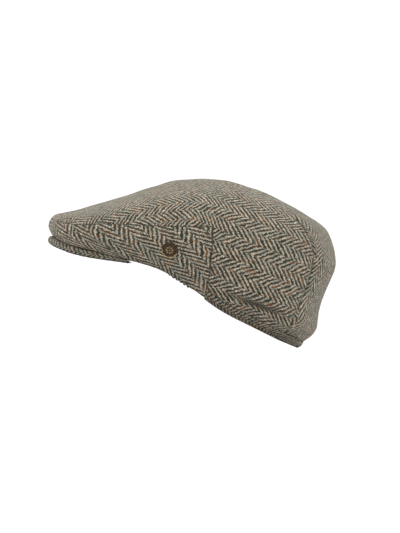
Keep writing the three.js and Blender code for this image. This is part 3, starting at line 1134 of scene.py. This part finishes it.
@dataclass(frozen=True)
class PaperFinish:
    """Plain matt white of the floor."""

    name: str = "studio_paper"
    colour: Colour = (0.93, 0.93, 0.93, 1.0)
    grain: Colour = (0.92, 0.92, 0.92, 1.0)

    def material(self) -> bpy.types.Material:
        """Builds the finish, with a barely visible grain.

        Returns:
            The material.
        """
        n = Nodes(self.name)
        grain = n.noise(n.add("TexCoord").outputs["Object"], 60.0, 3.0)
        tone = n.mix(n.span(grain, 0.3, 0.7), self.colour, self.grain)
        return n.finish(n.add("BsdfPrincipled", {"Base Color": tone, "Roughness": 0.9}))


# Pieces


@dataclass
class CrownPanel:
    """The top, the back and both wings: one cloth, closed at the back by two darts."""

    form: CrownForm
    cloth: ClothBehaviour
    darts: DartSeam
    finish: bpy.types.Material
    front_columns: int = 56
    wing_columns: int = 76
    tongue_columns: int = 34
    skirt_rows: int = 48
    dome_rows: int = 62
    seam_shade: float = 0.4
    seam_line: float = 0.0007
    dart_shade: float = 0.6
    dart_line: float = 0.0009
    crease_shade: float = 0.8
    pucker_shift: float = 0.004
    lip_power: int = 8

    SKIRT_GATHERED = (0.7, 0.0)
    DOME_GATHERED = (0.8, 0.0)
    WING_GATHERED = (0.75, 0.7)
    TONGUE_GATHERED = (0.7, 0.0)

    def half_bearings(self, level: Grid) -> Grid:
        """Bearings of one side's columns at each row, front to back, closer together at seams.

        Args:
            level: level of each point, rows x columns.

        Returns:
            Bearings, rows x columns.
        """
        temple, dart = temple_bearing(level), self.darts.bearing(level)
        front = np.linspace(0.0, 1.0, self.front_columns + 1)[:-1]
        wing = gathered_steps(self.wing_columns, *self.WING_GATHERED)[:-1]
        tongue = gathered_steps(self.tongue_columns, *self.TONGUE_GATHERED)
        to_temple = np.concatenate((front, 1.0 + 0 * wing, 1.0 + 0 * tongue))
        to_dart = np.concatenate((0 * front, wing, 1.0 + 0 * tongue))
        to_back = np.concatenate((0 * front, 0 * wing, tongue))
        return temple * to_temple + (dart - temple) * to_dart + (180.0 - dart) * to_back

    def levels(self, bearing: Grid, rows: Grid) -> Grid:
        """Levels of the rows at a bearing: below the shoulder they start at the hem's top."""
        lowest = self.form.level_of(bearing, self.form.hem_height + self.cloth.seam_gap)
        return np.where(rows < 1.0, lowest + (1.0 - lowest) * rows, rows)

    def grid(self) -> tuple[Grid, Grid, Grid, Grid]:
        """Rows of the mesh, and each point's bearing and level.

        Bearing and level depend on each other, so they are worked out three times over.

        Returns:
            Rows, rows x 1; the dome's levels; bearings and levels, rows x columns.
        """
        skirt = gathered_steps(self.skirt_rows, *self.SKIRT_GATHERED)
        dome = 1.0 + gathered_steps(self.dome_rows, *self.DOME_GATHERED)
        rows = np.concatenate((skirt[:-1], dome))[:, None]
        half = self.half_bearings(rows)
        for _ in range(2):
            half = self.half_bearings(self.levels(half, rows))
        bearing = np.concatenate((half, 360.0 - half[:, -2::-1]), axis=1)
        return rows, dome, bearing, self.levels(bearing, rows)

    def from_seams(self, rows: Grid, around: Grid, up: Grid) -> tuple[Grid, Grid, Grid]:
        """Distances over the cloth, as differences of running length.

        Args:
            rows: rows of the mesh, rows x 1.
            around: running length round each row.
            up: running length up each column.

        Returns:
            From the temple seams, from the darts (positive behind them), and from the nearest edge.
        """
        temple, dart = self.front_columns, self.front_columns + self.wing_columns
        last = around.shape[1] - 1
        column = np.arange(last + 1)[None, :]
        left = column <= last // 2
        in_front = np.minimum(column, last - column) < temple
        above = up - up[self.skirt_rows]
        from_temple = np.abs(around - np.where(left, around[:, [temple]], around[:, [last - temple]]))
        from_dart = np.where(left, around - around[:, [dart]], around[:, [last - dart]] - around)
        from_strip = np.where(in_front, above, np.hypot(above, from_temple))
        from_edge = np.where(rows >= 1.0, from_strip, np.minimum(from_temple, up))
        return from_temple, from_dart, from_edge

    def cells(self, shape: tuple[int, int]) -> tuple[Grid, Grid]:
        """Cells of the cloth, which leave out the strips, and those of them behind the darts.

        Args:
            shape: number of rows and columns of points.

        Returns:
            Both choices, rows x columns of cells.
        """
        count = shape[1] - 1
        column = np.minimum(np.arange(count), count - 1 - np.arange(count))[None, :]
        cells = np.ones((shape[0] - 1, count), bool)
        cells[: self.skirt_rows] = column >= self.front_columns
        return cells, cells & (column >= self.front_columns + self.wing_columns)

    def build(self) -> bpy.types.Object:
        """Builds the panel: skirt and dome rows over full rings, cut out where the strips are.

        Returns:
            The piece.
        """
        rows, dome, bearing, level = self.grid()
        base, normal = self.form.point(bearing, level), self.form.normal(bearing, level)
        normal[-1] = (0.0, 0.0, 1.0)
        around, up = arc_lengths(base, axis=1), arc_lengths(base, axis=0)
        from_temple, from_dart, from_edge = self.from_seams(rows, around, up)
        on_skirt = np.where(rows < 1.0, 1.0, 0.0)
        closed, height = self.darts.closed(level), base[..., 2]

        out = self.cloth.waves(base) + closed * self.cloth.dart(from_dart)
        out += closed * self.cloth.pucker(np.abs(from_dart), height)
        out += on_skirt * self.cloth.pucker(from_temple, height + self.pucker_shift)
        out += on_skirt * self.cloth.pressed_crease(self.form, bearing, height)
        outer = base + normal * (out - self.cloth.seam(from_edge))[..., None]
        drawn_up = (1.0 - np.minimum(rows, 1.0)) ** self.lip_power
        lipped = level + self.form.level_of(bearing, self.cloth.lip) * drawn_up
        inner = self.form.point(bearing, lipped) + normal * (out - self.cloth.thickness)[..., None]
        outer[-1], inner[-1] = outer[-1, 0], inner[-1, 0]

        weave = PanelLay(self.form, dome).lay(base, level, self.dome_rows + 1)
        weave_back = self.tongue_weave(around, up)
        weave_back = weave + (weave_back - weave) * self.darts.turned(level)[..., None]
        take = on_skirt * self.cloth.crease_take(self.form, bearing, height)
        weave[..., 0] += np.sign(-base[..., 1]) * take
        # Painted shade: the cloth is darkened along the darts, the seams and the crease's valley.
        groove = np.maximum(closed * bell(from_dart, self.dart_line) * self.dart_shade,
                            self.seam_shade * bell(from_edge, self.seam_line))
        crease = on_skirt * self.cloth.crease_shade(self.form, bearing, height)
        groove = np.maximum(groove, self.crease_shade * crease)

        same = np.arange(level.size).reshape(level.shape)
        same[:, -1] = same[:, 0]
        same[-1, :] = same[-1, 0]
        cells, tongue = self.cells(level.shape)
        work = Patchwork()
        patches = [(weave, cells & ~tongue), (weave_back, tongue)]
        closed_wall(work, (outer, inner), same, True, patches, groove=groove)
        return work.build("crown_cloth", self.finish)

    @staticmethod
    def tongue_weave(around: Grid, up: Grid) -> Grid:
        """Weave between the darts: across by the length round the crown, along down the back.

        Args:
            around: running length round each row.
            up: running length up each column.

        Returns:
            Across and along, rows x columns x 2.
        """
        centre = around.shape[1] // 2
        across = around[:, [centre]] - around
        along = np.broadcast_to((up[-1, centre] - up[:, centre])[:, None], across.shape)
        return np.stack((across, along), axis=-1)


@dataclass
class SideStrip:
    """One side of the front: a strip between the rim, the panel's front edge and the temple seam."""

    form: CrownForm
    cloth: ClothBehaviour
    finish: bpy.types.Material
    side: Side
    columns: int = 210
    rows: int = 56
    weave_slant: float = 34.0
    front_slant: float = 42.0
    stitch_pitch: float = 0.0040
    stitch_drop: float = 0.0013
    stitch_height: float = 0.0017
    stitches_from: float = 0.015
    stitches_to: float = 0.042
    stitches_fade: float = 0.005
    stitch_shade: float = 1.3
    seam_shade: float = 0.5
    seam_line: float = 0.0007
    front_pucker: float = 0.6

    ROWS_GATHERED = (0.75, 0.75)
    COLUMNS_GATHERED = (0.5, 0.8)
    JUST_BELOW_SHOULDER = 1.0 - 1e-9
    FRONT_SPAN = (25.0, 68.0)
    PUCKERS_GROW = (0.02, 0.06)
    CREST = (-0.35, 0.45)
    WEAVE_SIZE = (1.0, 0.88, 0.7, 0.62, 0.7, 0.82, 0.85, 0.85, 0.85)

    def build(self) -> bpy.types.Object:
        """Builds the strip over a grid of level and share of the way to the temple seam.

        Returns:
            The piece.
        """
        inset = math.degrees(self.cloth.seam_gap / (self.form.width / 2))
        level = gathered_steps(self.rows, *self.ROWS_GATHERED)[:, None]
        share = gathered_steps(self.columns, *self.COLUMNS_GATHERED)[None, :]
        bearing = inset / 2 + (temple_bearing(level) - inset - inset / 2) * share
        base = self.form.point(bearing, np.minimum(level, self.JUST_BELOW_SHOULDER))
        normal = self.form.normal(bearing, np.broadcast_to(level, bearing.shape))
        around, up = arc_lengths(base, axis=1), arc_lengths(base, axis=0)
        from_temple = around[:, [-1]] - around
        from_seam = np.minimum(np.minimum(from_temple, around), up[[-1]] - up)
        height = base[..., 2]
        mirrored = base * (1.0, self.side.value, 1.0)
        out = self.cloth.waves(mirrored) + self.cloth.pucker(from_temple, height)
        grown = ramp(around, *self.PUCKERS_GROW)
        out += self.front_pucker * self.cloth.pucker(up[[-1]] - up, around) * grown
        base = base - np.stack((0 * level, 0 * level, self.cloth.seam_gap * level), axis=-1)
        rounding = self.cloth.rounding(up)
        outer = base + normal * (out - np.maximum(self.cloth.seam(from_seam), rounding))[..., None]
        inner = base + normal * (out - self.cloth.thickness + rounding)[..., None]

        weave = self.weave(bearing, self.form.rim_height(bearing) + up)
        beads = self.rim_stitches(around, from_temple)
        hang = self.stitch_drop * beads * bell(up, self.stitch_height)
        outer, inner = (skin - np.stack((0 * hang, 0 * hang, hang), axis=-1) for skin in (outer, inner))
        # Painted shade along the seams, and under the thick stitches at the rim.
        groove = self.seam_shade * bell(from_seam, self.seam_line)
        groove = np.maximum(groove, beads * bell(up, self.stitch_shade * self.stitch_height))
        if self.side is Side.RIGHT:
            flip = np.array((1.0, -1.0, 1.0))
            outer, inner = outer[:, ::-1] * flip, inner[:, ::-1] * flip
            weave, groove = weave[:, ::-1], groove[:, ::-1]
        work = Patchwork()
        same = np.arange(bearing.size).reshape(bearing.shape)
        cells = np.ones((self.rows, self.columns), bool)
        closed_wall(work, (outer, inner), same, False, [(weave, cells)], groove=groove)
        return work.build(f"side_cloth_{self.side.name.lower()}", self.finish)

    def slant(self, bearing: Grid) -> Grid:
        """Angle of the weave's columns below the level, in radians, steeper towards the front."""
        front = 1.0 - ramp(bearing, *self.FRONT_SPAN)
        return np.radians(self.weave_slant + (self.front_slant - self.weave_slant) * front)

    def weave(self, bearing: Grid, high: Grid) -> Grid:
        """Weave coordinates: slanted steps summed along the strip, and turned heights.

        Args:
            bearing: bearings of the points.
            high: their heights above the floor, measured over the cloth.

        Returns:
            Across and along, rows x columns x 2.
        """
        steps = np.linspace(0.0, 100.0, 401)
        run = arc_lengths(self.form.point(steps, np.full_like(steps, 0.5))[None], axis=1)[0]
        middle = (steps[1:] + steps[:-1]) / 2
        size = np.diff(run) * read_rows(self.WEAVE_SIZE, middle / steps[-1])
        turn = self.slant(middle)
        across = np.concatenate(([0.0], np.cumsum(size * np.sin(turn))))
        along = np.concatenate(([0.0], np.cumsum(size * np.cos(turn))))
        turn = self.slant(bearing)
        across = np.interp(bearing, steps, across - across[-1]) + high * np.cos(turn)
        along = np.interp(bearing, steps, along - along[-1]) - high * np.sin(turn)
        return np.stack((across, along), axis=-1)

    def rim_stitches(self, around: Grid, from_temple: Grid) -> Grid:
        """Thick stitches along the rim in front of the temple seam: a sine's crests, faded in and out.

        Args:
            around: length along the rim.
            from_temple: length from the temple seam.

        Returns:
            From 0 between stitches to 1 on one.
        """
        stitch = ramp(np.sin(2 * math.pi * around / self.stitch_pitch), *self.CREST)
        start = ramp(from_temple, self.stitches_from, self.stitches_from + self.stitch_pitch)
        end = ramp(from_temple, self.stitches_to, self.stitches_to - self.stitches_fade)
        return stitch * start * end


@dataclass
class RimHem:
    """The rolled edge along the rear rim, flat where it rests."""

    form: CrownForm
    cloth: ClothBehaviour
    finish: bpy.types.Material
    roll: float = 0.0008
    end_gap: float = 0.0007
    columns: int = 640
    around: int = 40
    turn_back: float = 0.0165
    twists: int = 78
    twist_height: float = 0.00018
    twist_lean: float = 0.35
    twist_shade: float = 0.28
    run_scale: float = 1.5
    end_length: float = 0.0015

    GATHERED = (0.6, 0.6)
    GROWS = (-0.02, 0.14)
    TWISTS_GROW = (0.2, 0.8)
    BETWEEN_TWISTS = (0.0, 0.8)
    SHADED = (0.35, 0.7)
    SHARE = (0, 0.12, 0.35, 0.65, 0.9, 1, 1, 0.65, 0.2, 0)
    ROLLED = (-0.6, 0, 1, 1, 0.5, 0, 0, -0.5, -0.5, 0.6)
    WALL = (0, 0, 0, 0, 0, 0, 1, 1, 1, 1)

    def section(self) -> tuple[Grid, Grid, Grid]:
        """Closed section, rounded through its corners; its inner top is raised by the cloth's lip.

        Returns:
            Shares of the hem's height, distances outward of the roll, and of the plain wall.
        """
        share = np.array(self.SHARE, float)
        share[6] += self.cloth.lip / self.form.hem_height
        rolled = np.array(self.ROLLED) * self.roll
        wall = np.array(self.WALL) * -self.cloth.thickness
        closed = [np.concatenate((line, line[:1])) for line in (share, rolled, wall)]
        t = np.linspace(0.0, 1.0, self.around + 1)
        return tuple(read_rows(line, t) for line in closed)

    def build(self) -> bpy.types.Object:
        """Builds the hem: its section carried along the rim, drawn together at both ends.

        Returns:
            The piece.
        """
        share, rolled, wall = self.section()
        end = math.degrees(self.end_gap / (self.form.rim_width / 2))
        t = gathered_steps(self.columns, *self.GATHERED)[:, None]
        grown = ramp(np.minimum(t, 1.0 - t), *self.GROWS)
        out = wall + rolled * grown
        length = np.maximum(share[None, :], 0.0) * self.form.hem_height
        rough = TEMPLE_BEARING + (360.0 - 2 * TEMPLE_BEARING) * t
        level = self.form.level_of(rough, length)
        start = temple_bearing(level) + end
        bearing = start + (360.0 - 2 * start) * t
        level = self.form.level_of(bearing, length)
        base = self.form.point(bearing, level)
        twist = np.sin(2 * math.pi * (self.twists * t + self.twist_lean * share[None, :]))
        wave = self.cloth.waves(base) + self.twist_height * twist * ramp(grown, *self.TWISTS_GROW)
        axis = self.form.place(bearing, 0.0 * wave, 0.0)
        points = base + self.form.place(bearing, out + wave, 0.0) - axis
        run = arc_lengths(points, axis=0)
        middle = points[:, :-1].mean(axis=1, keepdims=True)
        from_end = np.minimum(run, run[[-1]] - run)
        closing = np.clip(from_end / self.end_length, 0.0, 1.0)
        points = middle + (points - middle) * np.sqrt(1 - (1 - closing) ** 2)[..., None]
        points[..., 2] = np.maximum(points[..., 2], 0.0)
        girth = arc_lengths(points[len(t) // 2], axis=0)[None, :] * np.ones_like(run)
        along = self.run_scale * run.mean(axis=1, keepdims=True) + 0 * girth
        weave = np.stack((self.turn_back + girth, along), axis=-1)
        work = Patchwork()
        # Painted shade between the twists, on the hem's lower part.
        lower = 1.0 - ramp(length, *(part * self.form.hem_height for part in self.SHADED))
        groove = self.twist_shade * lower * ramp(-twist, *self.BETWEEN_TWISTS) + 0 * bearing
        ids = work.add_closed(points, groove=groove)
        work.add_cells(ids, weave, flipped=True)
        return work.build("hem_roll", self.finish)


@dataclass
class Peak:
    """The stiff crescent under the front: cloth drawn over a core, with a thick rounded edge."""

    form: CrownForm
    cloth: ClothBehaviour
    finish: bpy.types.Material
    forehead: float = 0.098
    lip: float = 0.0025
    edge: float = 0.0079
    heel: float = 0.0036
    corner: float = 0.0016
    rise: float = 0.015
    fullness: float = 2.2
    half_turn: float = 48.9375
    run_out: float = 0.34
    least_width: float = 0.001
    end_share: float = 0.16
    end_width: float = 0.1
    end_rise: float = 0.75
    sewn_rise: float = 0.00045
    sewn_place: float = 0.0075
    sewn_width: float = 0.0012
    sewn_shade: float = 0.5
    sag: float = 0.00022
    sag_turns: float = 1.9
    band_start: float = 0.0056
    band_scale: float = 1.15
    columns: int = 170
    edge_steps: int = 22
    across_steps: int = 26

    def section(self, edge: Grid, first: Grid, last: Grid) -> tuple[Grid, Grid]:
        """Closed section: half a circle up the edge, in along the top, and back underneath.

        Args:
            edge: thickness at the edge.
            first: how far in the flat part starts.
            last: how far in it ends.

        Returns:
            Distances in from the edge, and heights as shares of the thickness.
        """
        angle = math.pi * (np.linspace(0, 1, self.edge_steps + 1) - 0.5)[None, :]
        round_in = edge / 2 * (1 - np.cos(angle))
        round_up = 0.5 + 0.5 * np.sin(angle) + 0 * edge
        steps = np.linspace(0, 1, self.across_steps + 1)[None, :]
        across = first + (last - first) * steps
        inward = np.concatenate((round_in, across, across[:, ::-1], round_in[:, :1]), axis=1)
        above = np.concatenate((round_up, 1 + 0 * across, 0 * across, round_up[:, :1]), axis=1)
        return inward, above

    def drawn_together(self, points: Grid, aside: Grid) -> Grid:
        """Sections drawn together towards both ends, and closed there at a point near the top edge.

        Args:
            points: the sections, bearings x points round each x 3.
            aside: how far to the side each one lies, from 0 to 1.

        Returns:
            The sections, with one of a single place before the first and one behind the last.
        """
        middle, top_edge = points[:, :-1].mean(axis=1, keepdims=True), points[:, [self.edge_steps]]
        cap = (1 - self.end_rise) * middle + self.end_rise * top_edge
        closing = np.clip((1 - aside) / self.end_share, 0.0, 1.0)[..., None]
        points = cap + (points - cap) * (1 - (1 - self.end_width) * (1 - closing) ** 2)
        return np.concatenate((cap[[0]] + 0 * points[[0]], points, cap[[-1]] + 0 * points[[-1]]))

    def weaves(self, points: Grid) -> tuple[Grid, Grid]:
        """Weave coordinates of the edge's band, by lengths round and along it, and of the faces.

        Args:
            points: the sections, bearings x points round each x 3.

        Returns:
            The band's and the faces' coordinates.
        """
        run = arc_lengths(points[:, self.edge_steps // 2], axis=0)[:, None]
        girth = arc_lengths(points[len(points) // 2], axis=0)[None, :]
        band = np.stack(np.broadcast_arrays(self.band_start + girth, self.band_scale * run), axis=-1)
        return band, np.stack((points[..., 1], points[..., 0]), axis=-1)

    def build(self) -> bpy.types.Object:
        """Builds the peak: a closed section at each bearing, from the edge over the top and back.

        Returns:
            The piece.
        """
        form = self.form
        bearing = np.linspace(-self.half_turn, self.half_turn, self.columns + 1)[:, None]
        aside = np.abs(bearing) / self.half_turn
        middling = np.cos(aside * math.pi / 2) ** 2
        lip = self.lip * (1 - aside**3)
        outer = form.rim_reach(bearing) + lip
        width = form.rim_width - 2 * self.cloth.thickness
        inner = form.outline(bearing, self.forehead, self.forehead, width, (self.fullness, self.fullness))
        top = form.rim_height(bearing) - self.cloth.seam_gap
        edge = self.edge + (self.corner - self.edge) * aside**3
        heel = self.heel + (self.corner - self.heel) * aside
        seated = lip + self.cloth.thickness + self.cloth.seam_gap
        first = np.maximum(edge / 2, seated)
        running_out = 1.0 - np.clip((1 - aside) / self.run_out, 0.0, 1.0)
        least = first + self.least_width
        inner = outer - least - (outer - inner - least) * np.sqrt(1.0 - running_out**2)

        inward, above = self.section(edge, first, outer - inner)
        risen = np.maximum(0.0, (inward - seated) / (outer - inner - seated))
        thick = edge + (heel - edge) * np.clip(inward / (outer - inner), 0, 1)
        height = top + self.rise * middling * risen - thick * (1 - above)
        sewn = bell(inward - self.sewn_place, self.sewn_width) * (1 - aside**4)
        height = height + self.sewn_rise * sewn * np.where(above < 0.5, 1.0, 0.0)
        height = height + self.sag * np.sin(bearing * self.sag_turns) * (1 - above) * middling
        points = form.place(bearing + 0 * height, outer - inward, np.maximum(0.0, height))
        points = self.drawn_together(points, aside)

        band, flat = self.weaves(points)
        work = Patchwork()
        # Painted shade along the sewn line under the peak.
        sewn_line = np.concatenate((0 * sewn[[0]], sewn, 0 * sewn[[-1]]))
        ids = work.add_closed(points, groove=self.sewn_shade * sewn_line)
        on_band = np.zeros((points.shape[0] - 1, points.shape[1] - 1), bool)
        on_band[:, : self.edge_steps] = True
        work.add_cells(ids, band, on_band, flipped=True)
        work.add_cells(ids, flat, ~on_band, flipped=True)
        return work.build("peak_cloth", self.finish)


@dataclass
class Badge:
    """A small eight-sided plate with a raised rim, a ring of dots and a plain rosette."""

    form: CrownForm
    finish: bpy.types.Material
    across: float = 0.015
    thickness: float = 0.0015
    rim: float = 0.0009
    rim_rise: float = 0.0005
    rose_rise: float = 0.00042
    edge_drop: float = 0.00018
    foot: float = 0.0002
    foot_inset: float = 0.0001
    bearing: float = 70.3
    level: float = 0.49
    clearance: float = 0.0003
    turn: float = 22.6
    rings: int = 64
    spokes: int = 192
    side_rings: int = 6
    back_rings: int = 4
    petals: int = 8
    dots: int = 28

    RIM_INSIDE = (1.25, 0.85)
    RIM_OUTSIDE = (0.0, 0.35)
    ROUNDED = (0.2, 0.0)
    SIDE_RELIEF = 0.35
    LEAST_WORN = 0.62
    PETAL_FROM = 0.14
    PETAL_LENGTH = 0.44
    PETAL_WIDTH = 0.40
    PETAL_SLOPE = 0.16
    PETAL_VEIN = (0.45, 0.07)
    BOSS = (0.13, 0.05)
    DOT_RING = 0.72
    DOT_SPREAD = (0.035, 0.26)
    DOT_RELIEF = 0.9

    def build(self) -> bpy.types.Object:
        """Builds the plate as rings round its centre: face, side and back, closed at both centres.

        Returns:
            The piece.
        """
        angle = np.linspace(0, 2 * math.pi, self.spokes + 1)[None, :]
        share = np.linspace(0, 1, self.rings + 1)[:, None]
        eighth = math.pi / 4
        octagon = 1 / np.cos((angle + eighth / 2) % eighth - eighth / 2)
        apothem = self.across / 2
        reach = apothem * share * (1 + (octagon - 1) * share**4)
        from_side = apothem - reach / octagon * (1 + 0 * share)
        floor = self.thickness - self.rim_rise
        inside, outside, rounded = (
            ramp(from_side, self.rim * first, self.rim * last)
            for first, last in (self.RIM_INSIDE, self.RIM_OUTSIDE, self.ROUNDED)
        )
        ridge = inside * outside
        rose = self.rosette(reach / apothem, angle)
        top = floor + self.rim_rise * ridge + self.rose_rise * rose
        top = top - self.edge_drop * rounded
        side = np.linspace(1, 0, self.side_rings + 1)[1:, None]
        side_height = self.foot + (top[[-1]] - self.foot) * side
        back = np.linspace(1, 0, self.back_rings + 1)[:, None]
        flat_back = 0 * back + 0 * angle
        reach = np.concatenate((reach, reach[[-1]] + 0 * side, (reach[[-1]] - self.foot_inset) * back))
        height = np.concatenate((top, side_height, flat_back))
        spin = angle + math.radians(self.turn)
        # Wear on the raised rim, with a painted highlight that brightens its lower side.
        rim_wear_and_highlight = self.LEAST_WORN + 0.5 * np.clip(self.SIDE_RELIEF - np.sin(spin), 0.0, 1.0)
        wear_and_highlight = np.maximum(rim_wear_and_highlight * ridge, rose)
        relief = np.concatenate((wear_and_highlight, self.SIDE_RELIEF + 0 * side_height, flat_back))
        bearing, level = np.array(self.bearing), np.array(self.level)
        normal = self.form.normal(bearing, level)
        centre = self.form.point(bearing, level) + normal * self.clearance
        upward = np.array((0.0, 0.0, 1.0)) - normal * normal[2]
        upward /= np.linalg.norm(upward)
        right = np.cross(upward, normal)
        flat = np.stack((reach * np.cos(spin), reach * np.sin(spin)), axis=-1)
        points = centre + flat[..., :1] * right + flat[..., 1:] * upward + height[..., None] * normal
        work = Patchwork()
        ids = work.add_closed(points, relief=relief)
        work.add_cells(ids, flat, flipped=True)
        return work.build("badge_plate", self.finish)

    def rosette(self, reach: Grid, angle: Grid) -> Grid:
        """Relief inside the rim, from 0 to 1: petals, a boss and a ring of dots.

        A petal's half width follows a sine of its length, and a dot is a bell at its own angle.

        Args:
            reach: distance from the centre, as a share of the plate's half width.
            angle: direction, in radians.

        Returns:
            The relief.
        """
        turn = (angle * self.petals / (2 * math.pi) + 0.5) % 1.0 - 0.5
        length = np.clip((reach - self.PETAL_FROM) / self.PETAL_LENGTH, 0, 1)
        half_width = self.PETAL_WIDTH * np.sin(math.pi * length) ** 0.7
        vein = self.PETAL_VEIN[0] * bell(turn, self.PETAL_VEIN[1])
        petal = ramp(half_width - np.abs(turn), 0.0, self.PETAL_SLOPE) * (1 - vein)
        boss = ramp(reach, *self.BOSS)
        spot = (angle * self.dots / (2 * math.pi)) % 1.0 - 0.5
        dot = bell(reach - self.DOT_RING, self.DOT_SPREAD[0]) * bell(spot, self.DOT_SPREAD[1])
        return np.maximum(np.maximum(petal, boss), self.DOT_RELIEF * dot)


# Studio


@dataclass
class Studio:
    """A white floor that runs into a white surround, a wide lamp above, and the camera."""

    tilt: float = 22.6
    elevation: float = -0.45
    distance: float = 4.0
    seen_height: float = 0.506
    aim: tuple = (0.0127, 0.0, 0.0359)
    surround: float = 1.12
    key_power: float = 13.0
    key_size: float = 1.3
    key_direction: tuple = (-0.42, -0.30, 1.0)
    key_distance: float = 1.7
    key_target: tuple = (0.0, 0.0, 0.06)
    floor_size: float = 60.0
    floor_drop: float = 0.00005

    def build(self) -> None:
        """Sets up floor, surround, lamp and camera."""
        self.lay_floor()
        self.light()
        self.place_camera()

    def lay_floor(self) -> None:
        """Lays a wide flat floor just under the cap."""
        side = np.linspace(-self.floor_size / 2, self.floor_size / 2, 3)
        x, y = np.meshgrid(side, side)
        points = np.stack((x, y, np.full_like(x, -self.floor_drop)), axis=-1)
        work = Patchwork()
        ids = work.add_points(points)
        work.add_cells(ids, points[..., :2])
        floor = work.build("floor", PaperFinish().material())

    def light(self) -> None:
        """White surround, and one wide soft lamp from above, the side seen and a little in front."""
        world = bpy.data.worlds.new("surround")
        bpy.context.scene.world = world
        world.use_nodes = True
        background = world.node_tree.nodes["Background"]
        background.inputs[0].default_value = (1.0, 1.0, 1.0, 1.0)
        background.inputs[1].default_value = self.surround
        lamp = bpy.data.lights.new("overhead", "AREA")
        lamp.energy = self.key_power
        lamp.size = self.key_size
        holder = bpy.data.objects.new("overhead", lamp)
        bpy.context.scene.collection.objects.link(holder)
        direction = np.array(self.key_direction)
        place = direction / np.linalg.norm(direction) * self.key_distance
        self.aim_at(holder, place, self.key_target)
        bpy.context.scene.view_settings.view_transform = "Standard"

    @staticmethod
    def aim_at(holder: bpy.types.Object, place: Grid, target: tuple) -> None:
        """Puts an object at a place and turns its -Z towards a target.

        Args:
            holder: the object.
            place: where it goes.
            target: the point that it faces.
        """
        back = np.asarray(place) - np.asarray(target)
        back = back / np.linalg.norm(back)
        right = np.cross((0.0, 1.0, 0.0), back)
        right /= np.linalg.norm(right)
        up = np.cross(back, right)
        matrix = np.eye(4)
        matrix[:3, 0], matrix[:3, 1], matrix[:3, 2], matrix[:3, 3] = right, up, back, place
        holder.matrix_world = matrix.T.tolist()

    def place_camera(self) -> None:
        """Looks along +Y from the wearer's left, rolled by the cap's tilt in the photograph."""
        roll, rise = math.radians(self.tilt), math.radians(self.elevation)
        right0, up0 = np.array((1.0, 0.0, 0.0)), np.array((0.0, math.sin(rise), math.cos(rise)))
        back = np.array((0.0, -math.cos(rise), math.sin(rise)))
        matrix = np.eye(4)
        matrix[:3, 0] = math.cos(roll) * right0 + math.sin(roll) * up0
        matrix[:3, 1] = -math.sin(roll) * right0 + math.cos(roll) * up0
        matrix[:3, 2] = back
        matrix[:3, 3] = np.array(self.aim) + back * self.distance
        camera = bpy.data.cameras.new("camera")
        camera.sensor_fit = "VERTICAL"
        camera.sensor_height = 36.0
        camera.lens = camera.sensor_height * self.distance / self.seen_height
        camera.clip_end = 100.0
        holder = bpy.data.objects.new("camera", camera)
        bpy.context.scene.collection.objects.link(holder)
        holder.matrix_world = matrix.T.tolist()
        bpy.context.scene.camera = holder


def main() -> None:
    logging.basicConfig(level=logging.INFO, format="%(name)s: %(message)s")
    Studio().build()
    form, cloth = CrownForm(), ClothBehaviour()
    tweed = TweedFinish("herringbone_tweed").material()
    # The hem's copy of the tweed is darker all over: painted shade low along the rim.
    hem_tweed_shaded = TweedFinish("herringbone_hem_shaded", shade=0.95).material()
    peak_tweed = TweedFinish("herringbone_peak").material()
    dress(CrownPanel(form, cloth, DartSeam(form), tweed).build(), "crown_panel")
    dress(SideStrip(form, cloth, tweed, Side.LEFT).build(), "side_strip_left")
    dress(SideStrip(form, cloth, tweed, Side.RIGHT).build(), "side_strip_right")
    dress(RimHem(form, cloth, hem_tweed_shaded).build(), "rim_hem")
    dress(Peak(form, cloth, peak_tweed).build(), "peak")
    dress(Badge(form, BrassFinish().material()).build(), "badge")


if __name__ == "__main__":
    main()
